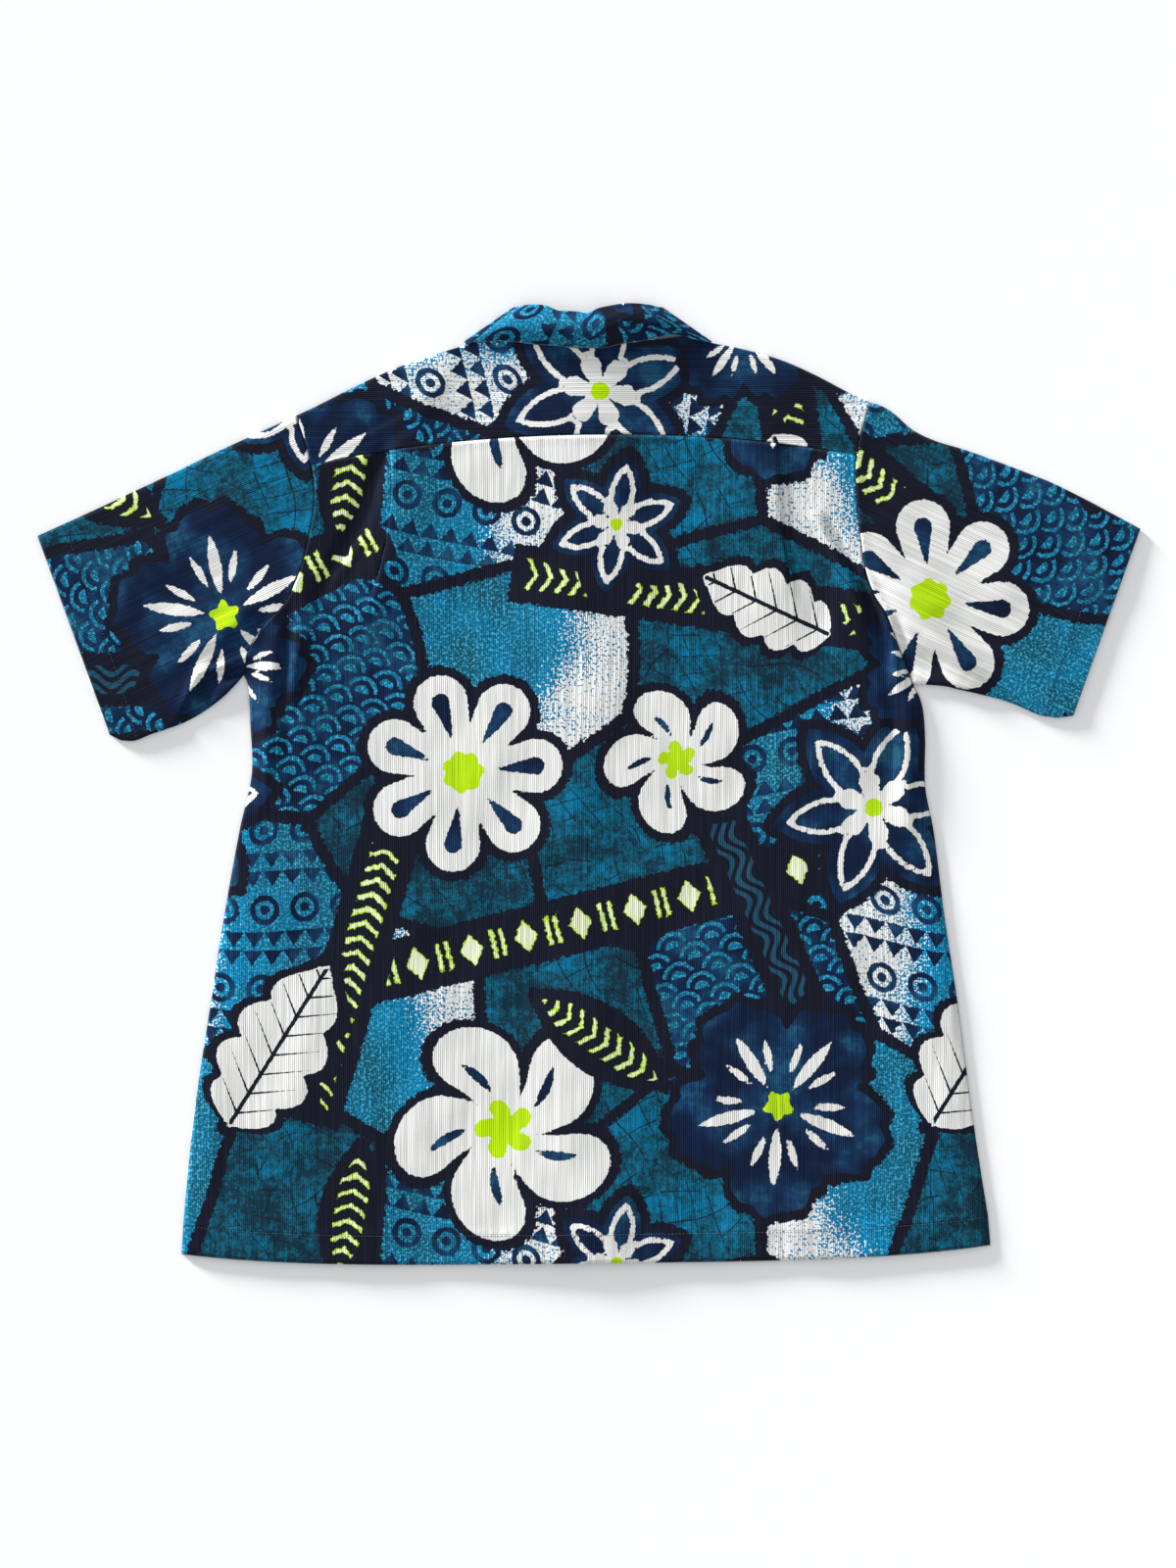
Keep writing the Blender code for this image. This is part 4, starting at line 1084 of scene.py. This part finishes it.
class Cloth(Graph):
    """The printed cloth's nodes. Each noise is made once, and every part of the print uses it."""

    def __init__(self):
        super().__init__("printed_cloth")
        self.place = self.carried("cloth")
        bend = self.noise(self.place, RIB_BEND_SIZE, 0)
        self.wide_bend = bend * SCRATCH_BEND
        self.rib_place = self.place[0] + bend * RIB_BEND
        self.uneven = self.noise((self.rib_place, self.place[1]), 2.3, 1, 0.6, stretch=40)
        self.dots = self.noise(self.place, DOT, 1, 0.7)
        self.blots = self.noise(self.place, BLOT, 2, 0.7)
        self.pools = self.noise(self.place, POOL, 2, 0.55)
        self.rough = self.noise(self.place, ROUGH, 1, 0.65, seed=3) - 0.5
        self.slight = self.rough * SLIGHT

    def teal_field(self, tone):
        """Mottled teal with thin dark scratches. tone makes a field lighter."""
        level = self.blots * 2.1 + self.pools * 2.3 + self.dots * 1.2 + tone * 0.7 - 3.26
        colour = self.mix(TEAL_DARK, TEAL, self.smooth(level, -0.35, 0.2))
        colour = self.mix(colour, BLUE, self.smooth(level, 0.1, 0.7))
        return self.mix(colour, INK, self.scratches() * 0.85)

    def scratches(self):
        """1 on thin bent lines that run a few ways and break off."""
        lines = []
        for turn, spacing, low, high in SCRATCHES:
            c, s = math.cos(math.radians(turn)), math.sin(math.radians(turn))
            off = self.off_middle(self.place[0] * c + self.place[1] * s + self.wide_bend, spacing)
            line = self.smooth(off, SCRATCH_HALF + 0.15, SCRATCH_HALF - 0.2)
            lines.append(line * self.smooth(self.pools, low, high))
        return self.joined(*lines)

    def spattered(self, share):
        """Blue sprayed over white, denser as share goes from 0 to 1 and darker above that."""
        spray = self.smooth(self.dots * 3.4 + share * 1.9, 2.42, 2.62)
        blue = self.mix(SPRAY_BLUE, TEAL, self.smooth(self.pools * 0.9 + share + self.dots * 0.7, 1.4, 2.4))
        blue = self.mix(blue, SPRAY_PALE, self.smooth(self.dots, 0.5, 0.36) * 0.6)
        return self.mix(WHITE, blue, spray)

    def wash(self):
        """Navy wash with paler pools."""
        colour = self.mix(NAVY_DARK, NAVY_MID, self.smooth(self.pools, 0.38, 0.6))
        return self.mix(colour, NAVY_PALE, self.smooth(self.pools + self.blots * 0.5, 0.78, 0.98) * 0.6)

    def teeth(self, along, across):
        """1 on pairs of rows of triangles, and on the rings in the lanes between the pairs."""
        up = self.repeat(along, LANE)
        second = up - SECOND_ROW
        slope = self.off_middle(across, TOOTH_PITCH) * TOOTH_SLOPE
        pair = self.joined(TOOTH_HEIGHT - (up + slope), self.common(TOOTH_HEIGHT - (second + slope), second))
        radius = self.radius(up - RING_ROW, self.repeat(across, RING_PITCH) - RING_PITCH / 2)
        return self.inside(self.joined(pair, RING_HALF - abs(radius - RING_RADIUS), RING_DOT - radius))

    def scales(self, along, across):
        """1 on the dark rims and hearts of rows of fish scales."""
        row = self.math("FLOOR", across * (1 / SCALE_STEP))
        up = across - row * SCALE_STEP
        stagger = self.math("FRACT", row * 0.5) * 2.0
        side = self.off_middle(along, 2 * SCALE)
        own = self.radius(self.mix_number(side, SCALE - side, stagger), up)
        lower = self.radius(self.mix_number(SCALE - side, side, stagger), up + SCALE_STEP)
        out = self.mix_number(own, lower, self.math("LESS_THAN", lower, SCALE))
        heart = SCALE_HEART_HALF - abs(out - SCALE_HEART)
        return self.inside(self.joined(out - (SCALE - SCALE_RIM), heart))

    def band_marks(self, kinds, along, across):
        """1 on the bright marks of the bands, and 1 in the marks' pale hearts."""
        up = abs(across)
        diamond = DIAMOND_HALF - (self.off_middle(along, DIAMOND_PITCH, 0.3) + up * DIAMOND_SLOPE)
        bars = BAR_HALF - abs(self.off_middle(along, DIAMOND_PITCH, 0.79) - BAR_OFF)
        diamonds = self.joined(diamond, self.common(bars, BAR_REACH - up))
        rungs = self.pools * 3.6 + 0.4 - self.off_middle(along + up * RUNG_SLOPE, RUNG_PITCH)
        ladder = self.common(rungs, MARK_REACH - up)
        on_ladder, on_diamonds = self.is_kind(kinds, LADDER), self.is_kind(kinds, DIAMONDS)
        marks = (ladder + FAR) * on_ladder + (diamonds + FAR) * on_diamonds - FAR + self.rough * 5.0
        return self.inside(marks), self.inside(marks - 1.0, 0.5)

    def wave_marks(self, kinds, along, across):
        """1 on the wash-blue waves along a dark band."""
        off = abs(across - self.math("SINE", along * (2 * math.pi / WAVE_LENGTH)) * WAVE_SWING)
        waves = self.joined(WAVE_HALF - off, SIDE_WAVE_HALF - abs(off - SIDE_WAVE_OFF))
        return self.inside(waves) * self.is_kind(kinds, WAVES)

    def veins(self, kinds, along, across):
        """1 on a leaf's dark veins, which thin out to its edge."""
        up = abs(across)
        side_veins = self.off_middle(along - up * VEIN_SLOPE, VEIN_PITCH) + up * 0.035 - 0.5
        lines = self.common(up - VEIN_HALF, side_veins) + self.rough * 1.5
        return self.smooth(lines, 0.95, 0.4) * self.is_kind(kinds, LEAF)

    def fields(self, kinds, tone, along, across, wash):
        """The patchwork's own colours. Teeth and scales are filled with the wash."""
        drawn = along + self.slight, across + self.slight
        is_teeth, is_scales = self.is_kind(kinds, TEETH), self.is_kind(kinds, SCALES)
        # scales lie on an even spray, and the other sprayed fields go from white to blue
        share = self.mix_number(self.smooth(across, -60, 40) + self.pools * 0.5, EVEN_SPRAY, is_scales)
        patterned = self.mix_number(self.teeth(*drawn), self.scales(*drawn), is_scales)
        is_patterned = is_teeth + is_scales
        spray = self.mix(self.spattered(share), wash, patterned * is_patterned)
        return self.mix(self.teal_field(tone), spray, is_patterned + self.is_kind(kinds, SPATTER))


def cloth_material():
    """Ribbed cotton, printed. The points carry their place on the cloth and each colour's edge."""
    g = Cloth()
    band = g.place[2]
    ink, white, lime = g.carried("colours")
    navy, kinds, tone = g.carried("field")
    along, across, _ = g.carried("pattern")
    sewn, edge, inner_side = g.carried("sewing")
    wash = g.wash()

    base = g.mix(g.fields(kinds, tone, along, across, wash), INK, g.inside(ink + g.rough * TORN))
    for colour, distance in ((wash, navy), (WHITE, white), (LIME, lime)):
        base = g.mix(base, colour, g.inside(distance + g.slight))
    base = g.mix(base, INK, g.veins(kinds, along, across) * g.smooth(white, 0.5, 1.5))
    on_band = g.smooth(band, 4.5, 5.5)
    marks, hearts = g.band_marks(kinds, along, across)
    base = g.mix(base, g.mix(LIME, g.mix(WHITE, LIME_PALE, g.blots), hearts), marks * on_band)
    base = g.mix(base, NAVY_PALE, g.wave_marks(kinds, along, across) * on_band * 0.6)

    # Painted shade: the colour darkens in the ribs' grooves, and in streaks where they run deeper; depth sets
    # how dark, less on white
    ribs = g.math("SINE", g.rib_place * (2 * math.pi / RIB)) * 0.5 + 0.5
    grooves = g.smooth(ribs, 0.5, 0.05) * g.smooth(g.uneven, 0.34, 0.62)
    depth = g.inside(white) * -0.22 + 0.62  # the grooves show less on white
    base = g.shade(base, 1.0 - grooves * depth)
    base = g.shade(base, g.uneven * (depth * -0.75) + (depth * 0.5 + 0.96))
    # Painted shade in the seams' grooves: the colour darkens within about 1.2 mm of a seam
    base = g.shade(base, g.smooth(sewn, 0.0, 1.2) * 0.35 + 0.65)
    # The colour pales a little within about 1.4 mm of a hem or a free edge
    base = g.mix(base, WHITE, g.smooth(edge, 1.4, 0.2) * 0.1)
    base = g.mix(base, INSIDE, inner_side * 0.45)

    puckers = g.blots * g.smooth(sewn, 10, 0.5)
    seam = (g.smooth(sewn, 0.1, 1.6) * 0.7 + puckers) * PUCKER_DEPTH
    height = seam + (ribs + g.uneven) * RIB_DEPTH
    return g.finished(base, height, 1.0, g.uneven * 0.16 + 0.76, specular=0.08, sheen=0.03)


def thread_material():
    """Navy sewing thread, twisted and a little worn."""
    g = Graph("sewing_thread")
    place = g.object_place()
    worn = g.noise(place, 0.004, 2, 0.6)
    twist = g.math("SINE", (place[0] + place[1]) * (2 * math.pi / THREAD_TWIST))
    colour = g.mix(INK, THREAD_WORN, g.smooth(worn, 0.4, 0.7))
    return g.finished(colour, twist, 0.03, worn * 0.2 + 0.5, sheen=0.2)


def button_material():
    """Polished coconut shell: brown, flecked and streaked with fibres."""
    g = Graph("coconut_button")
    place = g.object_place()
    fibres = g.noise(place, 0.0011, 3, 0.7, stretch=5)
    flecks = g.noise(place, 0.0006, 1, 0.5, stretch=9, seed=4)
    clouds = g.noise(place, 0.006, 1, seed=7)
    base = g.mix(SHELL_DARK, SHELL_MID, g.smooth(fibres + clouds * 0.5, 0.55, 0.95))
    base = g.mix(base, SHELL_PALE, g.smooth(flecks, 0.58, 0.68) * 0.7)
    return g.finished(base, fibres * 0.7 + flecks, 0.05, fibres * 0.3 + 0.2)


# ---------- cloth pieces ----------

CUTS = {  # place of the piece's x and y zero in the print, and what it is cut from, in metres
    "back": ((320, 420), (0.72, 0.74)),
    "yoke": ((230, 390), (0.2, 0.52)),
    "collar": ((10, 160), (0.62, 0.11)),
    "front_left": ((110, 130), (0.37, 0.78)),
    "front_right": ((470, 130), (0.37, 0.78)),
    "sleeve_left": ((353, 60), (0.5, 0.26)),
    "sleeve_right": ((86, 330), (0.5, 0.26)),
}
SHOWN_DISTANCE = 30.0  # the longest distance to a seam or an edge that the points carry


def lengths_along(points, axis):
    """Distance from a grid's first row or column, along the surface."""
    steps = np.linalg.norm(np.diff(points[..., :3], axis=axis), axis=2)
    zero = np.zeros_like(steps[:1] if axis == 0 else steps[:, :1])
    return np.concatenate([zero, np.cumsum(steps, axis=axis)], axis=axis)


def nearest(*distances):
    return np.minimum.reduce(np.broadcast_arrays(*distances))


def to_sides(surface):
    """Distance to the nearer side of a grid, along its rows."""
    across = lengths_along(surface, 1)
    return nearest(across, across[:, -1:] - across)


def hemmed(from_edge, height):
    """The cloth's thickness this far from an edge with a hem of this height."""
    return np.where(from_edge < height, HEM_CLOTH, CLOTH)


def cloth_piece(name, surface, thick, flat_place, sewn, edges, material, closed=False):
    """One cloth piece: its shell, its print and how far its points are from seams and edges.
    flat_place is each point's place on the flat cloth, whose grain runs along the second."""
    grids = [np.broadcast_to(grid, sewn.shape) for grid in (*flat_place, thick, sewn, edges)]
    if closed:
        surface, *grids = (grid[:, :-1] for grid in (surface, *grids))
    u, v, thick, sewn, edges = grids
    made = shell(f"{name}_cloth", surface[..., :3], thick, closed, material)
    u, v = u + CUTS[name][0][0], v + CUTS[name][0][1]
    drawn = printed(u, v)
    kind, along, across, tone = drawn.pattern
    ink, white, lime, navy, band = drawn.colours.values()
    vectors = {
        "cloth": (u, v, band),
        "colours": (ink, white, lime),
        "field": (navy, kind, tone),
        "pattern": (along, across),
        "sewing": (np.clip(sewn, 0, SHOWN_DISTANCE), np.clip(edges, 0, SHOWN_DISTANCE)),
    }
    for key, parts in vectors.items():
        values = np.zeros((2, u.size, 3), np.float32)
        for column, part in enumerate(parts):
            values[..., column] = part.ravel()
        if key == "sewing":
            values[1, :, 2] = 1.0  # on the inner side
        made.data.attributes.new(key, "FLOAT_VECTOR", "POINT").data.foreach_set("vector", values.ravel())
    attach(made, "root")
    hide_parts(name)
    return made


def declare(name, surface):
    """Works out the rectangle a piece is cut from and its own flat area in square metres, and gives neither
    back.
    """
    flat = CUTS[name][1]
    across, up = np.diff(surface[:-1, :, :3], axis=1), np.diff(surface[:, :-1, :3], axis=0)
    area = float(np.linalg.norm(np.cross(across, up), axis=2).sum()) * MM**2
    area = min(area, flat[0] * flat[1])


def back_piece(material, thread):
    surface = settled(back_form(), BODY_SPACING)
    x, y = surface[..., 0], surface[..., 1]
    from_hem = lengths_along(surface, 0)
    sewn = nearest(np.abs(from_hem - HEM_HEIGHT), from_hem[-1] - from_hem, to_sides(surface))
    made = cloth_piece("back", surface, hemmed(from_hem, HEM_HEIGHT), (x, y), sewn, from_hem, material)
    hem = stitches("back_hem_stitches", [seam_line(surface, from_hem, HEM_HEIGHT)], thread)
    declare("back", surface)


def front_piece(side, material, thread):
    """A front. Its face lies on the floor, so its print runs the other way about."""
    name = f"front_{SIDE_NAMES[side]}"
    surface = settled(front_form(side), FRONT_SPACING)
    x, y = surface[..., 0], surface[..., 1]
    from_hem = lengths_along(surface, 0)
    from_inner = lengths_along(surface[:, ::-side], 1)
    placket = seam_line(surface[:, ::-side].transpose(1, 0, 2), from_inner.T, PLACKET_SEAM, side)
    from_inner = from_inner[:, ::-side]
    sewn = nearest(np.abs(from_hem - HEM_HEIGHT), np.abs(from_inner - PLACKET_SEAM))
    edges = nearest(from_hem, from_inner)
    made = cloth_piece(name, surface, hemmed(from_hem, HEM_HEIGHT), (-x, y), sewn, edges, material)
    hem = stitches(f"{name}_stitches", [seam_line(surface, from_hem, HEM_HEIGHT), placket], thread)
    fastening = buttonholes(thread) if side < 0 else button_threads(thread)
    declare(name, surface)


def reflected(x, y, layer, start, end):
    """x, y of the upper layer, and of the lower one turned over a fold from start to end."""
    along = unit(np.array(end, float) - np.array(start, float))
    out = np.array((-along[1], along[0]))
    away = (x - start[0]) * out[0] + (y - start[1]) * out[1]
    under = layer < 0.5
    return np.where(under, x - 2 * away * out[0], x), np.where(under, y - 2 * away * out[1], y)


def yoke_piece(material):
    surface = settled(yoke_form(), FINE_SPACING)
    x, y, _, layer = np.moveaxis(surface, 2, 0)
    for side in SIDES:
        turned = reflected(x, y, layer, (NECK_SIDE[0] * -side, NECK_SIDE[1]), ARMHOLE[side][0])
        here = np.sign(x) == side
        x, y = np.where(here, turned[0], x), np.where(here, turned[1], y)
    ends = lengths_along(surface, 0)
    sewn = nearest(to_sides(surface), ends, ends[-1] - ends)
    made = cloth_piece("yoke", surface, CLOTH, (y, x), sewn, SHOWN_DISTANCE, material)
    declare("yoke", surface)


def collar_piece(material):
    surface = refined(collar_form(), FINE_SPACING)
    u = lengths_along(surface, 0).mean(1, keepdims=True)
    v = lengths_along(surface, 1)
    edges = nearest(v[:, -1:] - v, u, u[-1:] - u)
    made = cloth_piece("collar", surface, COLLAR_CLOTH, (v, u), v, edges, material)
    declare("collar", surface)


def sleeve_piece(side, material, thread):
    name = f"sleeve_{SIDE_NAMES[side]}"
    surface = settled(sleeve_form(side), FINE_SPACING, closed=True)
    x, y, _, layer = np.moveaxis(surface, 2, 0)
    start, end = np.array(SLEEVE_TOP[side])[[0, -1]]
    x, y = reflected(x, y, layer, start, end)
    along = unit(end - start)
    u = (x - start[0]) * along[1] * side - (y - start[1]) * along[0] * side
    v = (x - start[0]) * along[0] + (y - start[1]) * along[1]
    from_armhole = lengths_along(surface, 0)
    to_cuff = from_armhole[-1] - from_armhole
    sewn = nearest(from_armhole, np.abs(to_cuff - CUFF_HEM))
    made = cloth_piece(name, surface, hemmed(to_cuff, CUFF_HEM), (u, v), sewn, to_cuff, material, closed=True)
    hem = stitches(f"{name}_stitches", [seam_line(surface[::-1], to_cuff[::-1], CUFF_HEM, -1)], thread)
    declare(name, surface)


# ---------- sewing ----------

STITCH_PITCH, STITCH_LENGTH = 3.0, 2.2
STITCH_SECTION = (  # share of the stitch, height over the cloth and radius
    (0.0, -0.25, 0.1), (0.12, 0.04, 0.19), (0.5, 0.16, 0.21), (0.88, 0.04, 0.19), (1.0, -0.25, 0.1),
)
THREAD_SIDES = 6
THREAD_LOWEST = 0.25
BUTTONHOLE, BUTTONHOLE_PITCH, BUTTONHOLE_REACH = 16.0, 0.55, (0.3, 1.9)
BUTTONHOLE_SUNK = 0.08
BUTTON_THREAD = (  # share of the holes' spread and height, from hole to hole
    (-1.0, 1.7), (-1.0, 0.75), (-0.85, 0.4), (-0.5, 0.32), (0.5, 0.32), (0.85, 0.4), (1.0, 0.75), (1.0, 1.7),
)
BUTTON_THREAD_RADIUS = 0.3


def tubes(name, centres, sides_out, ups, radii, material):
    """One mesh of many threads: centres, directions to the side and up are threads by rings by 3."""
    count, rings = centres.shape[:2]
    turns = 2 * math.pi * np.arange(THREAD_SIDES) / THREAD_SIDES
    reach = np.broadcast_to(radii, (count, rings))[..., None, None]
    around = sides_out[:, :, None] * np.cos(turns)[:, None] + ups[:, :, None] * np.sin(turns)[:, None]
    index = np.arange(count * rings * THREAD_SIDES).reshape(count, rings, THREAD_SIDES)
    turned = np.roll(index, -1, 2)
    quads = np.stack([index[:, :-1], turned[:, :-1], turned[:, 1:], index[:, 1:]], 3).reshape(-1, 4).tolist()
    caps = index[:, 0, ::-1].tolist() + index[:, -1].tolist()
    made = new_mesh(name, centres[:, :, None] + around * reach, quads + caps, material)
    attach(made, "root")
    return made


def seam_line(surface, distances, at, outward=1):
    """Points and normals on a grid's face, this far from its first row in every column."""
    normals = outward * normals_of(surface[..., :3])
    face = surface[..., :3] + normals * CLOTH_WALL / 2
    places, directions = [], []
    for c in range(surface.shape[1]):
        row = int(np.clip(np.searchsorted(distances[:, c], at), 1, len(distances) - 1))
        before, after = distances[row - 1, c], distances[row, c]
        share = (at - before) / max(after - before, 1e-6)
        places.append(mix(face[row - 1, c], face[row, c], share))
        directions.append(mix(normals[row - 1, c], normals[row, c], share))
    return np.array(places), np.array(directions)


def stitches(name, lines, material):
    """Raised threads along lines of points and normals, one for each stitch."""
    shares, heights, radii = np.array(STITCH_SECTION).T
    threads = []
    for line in lines:
        lengths = run_lengths(line[0])
        starts = np.arange(STITCH_PITCH, lengths[-1] - STITCH_PITCH, STITCH_PITCH)
        at = starts[:, None] + shares * STITCH_LENGTH
        centre, up = (np.stack([np.interp(at, lengths, part[:, k]) for k in range(3)], 2) for part in line)
        run = centre[:, -1:] - centre[:, :1]
        to_side = unit(np.cross(np.broadcast_to(run, up.shape), up))
        threads.append((centre + up * heights[:, None], to_side, up))
    centres, sides, ups = (np.concatenate(part) for part in zip(*threads))
    centres[..., 2] = np.maximum(centres[..., 2], THREAD_LOWEST)
    return tubes(name, centres, sides, ups, radii, material)


def button_middles():
    return [TOP_BUTTON_Y - i * BUTTON_SPACING for i in range(BUTTONS)]


def buttonholes(material):
    """Close stitches down both sides of each buttonhole, on the outer front's face."""
    shares, heights, radii = np.array(STITCH_SECTION).T
    level = REST + PLACKET_LIFT - CLOTH_WALL / 2 + BUTTONHOLE_SUNK
    centres = []
    for middle in button_middles():
        for y in np.arange(-BUTTONHOLE / 2, BUTTONHOLE / 2, BUTTONHOLE_PITCH) + middle:
            for side in SIDES:
                across = side * mix(*BUTTONHOLE_REACH, shares)
                centres.append(np.stack([across, np.full_like(across, y), level - heights], 1))
    centres = np.array(centres)
    along, up = (np.broadcast_to(direction, centres.shape) for direction in ((0, 1, 0), (0, 0, 1)))
    return tubes("buttonhole_stitches", centres, along, up, radii, material)


def button_threads(material):
    """Two threads through the four holes of each button."""
    spread = BUTTON_HOLE_SPREAD / math.sqrt(2)
    centres = []
    for middle in button_middles():
        for side in SIDES:
            centres.append([(share * spread, middle + side * spread, z) for share, z in BUTTON_THREAD])
    centres = np.array(centres)
    along = np.broadcast_to((0, 1, 0), centres.shape)
    ups = unit(np.cross(along, np.gradient(centres, axis=1)))
    return tubes("button_threads", centres, along, ups, BUTTON_THREAD_RADIUS, material)


# ---------- floor, light and camera ----------

FLOOR_HALF = 4000.0
FLOOR_WHITE, FLOOR_ROUGHNESS, FLOOR_SPECULAR = 0.93, 0.9, 0.1
VIEW_HEIGHT = 1.3168  # metres of the floor that the picture shows from top to bottom
CAMERA_HEIGHT = 5.0
SENSOR = 36.0
CLOTH_LEVEL = 0.005
KEY_ELEVATION, KEY_AZIMUTH = 8.0, 138.0  # degrees, where the key light stands
KEY_STRENGTH, KEY_WIDTH = 8.7, 9.0
FILL_PLACE, FILL_POWER, FILL_SIZE = (1.8, -0.6, 2.6), 3.0, 2.4
WORLD_COLOUR, WORLD_STRENGTH = (0.96, 0.98, 1.0, 1), 0.69


def floor():
    material = bpy.data.materials.new("floor")
    material.use_nodes = True
    inputs = material.node_tree.nodes["Principled BSDF"].inputs
    inputs["Base Color"].default_value = (FLOOR_WHITE, FLOOR_WHITE, FLOOR_WHITE, 1)
    inputs["Roughness"].default_value = FLOOR_ROUGHNESS
    inputs["Specular IOR Level"].default_value = FLOOR_SPECULAR
    corners = [(x * FLOOR_HALF, y * FLOOR_HALF, 0) for x, y in ((-1, -1), (1, -1), (1, 1), (-1, 1))]
    new_mesh("floor", corners, [(0, 1, 2, 3)], material)


def lights():
    """A low, soft key light from the upper left, a weak fill light and a pale surround."""
    low, round_about = math.radians(KEY_ELEVATION), math.radians(KEY_AZIMUTH)
    key_place = (math.cos(low) * math.cos(round_about), math.cos(low) * math.sin(round_about), math.sin(low))
    key = bpy.data.lights.new("key", "SUN")
    key.energy, key.angle = KEY_STRENGTH, math.radians(KEY_WIDTH)
    fill = bpy.data.lights.new("fill", "AREA")
    fill.energy, fill.size = FILL_POWER, FILL_SIZE
    for light, place in ((key, key_place), (fill, FILL_PLACE)):
        made = new_object(light.name, light)
        made.location = place
        made.rotation_euler = (-Vector(place)).to_track_quat("-Z", "Y").to_euler()
    world = bpy.data.worlds.new("studio")
    world.use_nodes = True
    world.node_tree.nodes["Background"].inputs["Color"].default_value = WORLD_COLOUR
    world.node_tree.nodes["Background"].inputs["Strength"].default_value = WORLD_STRENGTH
    bpy.context.scene.world = world
    bpy.context.scene.view_settings.view_transform = "Standard"


def camera():
    data = bpy.data.cameras.new("camera")
    data.sensor_width = SENSOR
    data.lens = SENSOR * (CAMERA_HEIGHT - CLOTH_LEVEL) / VIEW_HEIGHT
    made = new_object("camera", data)
    made.location = (0, 0, CAMERA_HEIGHT)
    bpy.context.scene.camera = made


def main():
    floor()
    lights()
    camera()
    cloth, thread, shell_brown = cloth_material(), thread_material(), button_material()
    back_piece(cloth, thread)
    yoke_piece(cloth)
    collar_piece(cloth)
    for side in SIDES:
        front_piece(side, cloth, thread)
        sleeve_piece(side, cloth, thread)
    for i in range(BUTTONS):
        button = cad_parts[f"button_{i + 1}"]
        for slot in button.material_slots:
            slot.material = shell_brown


main()
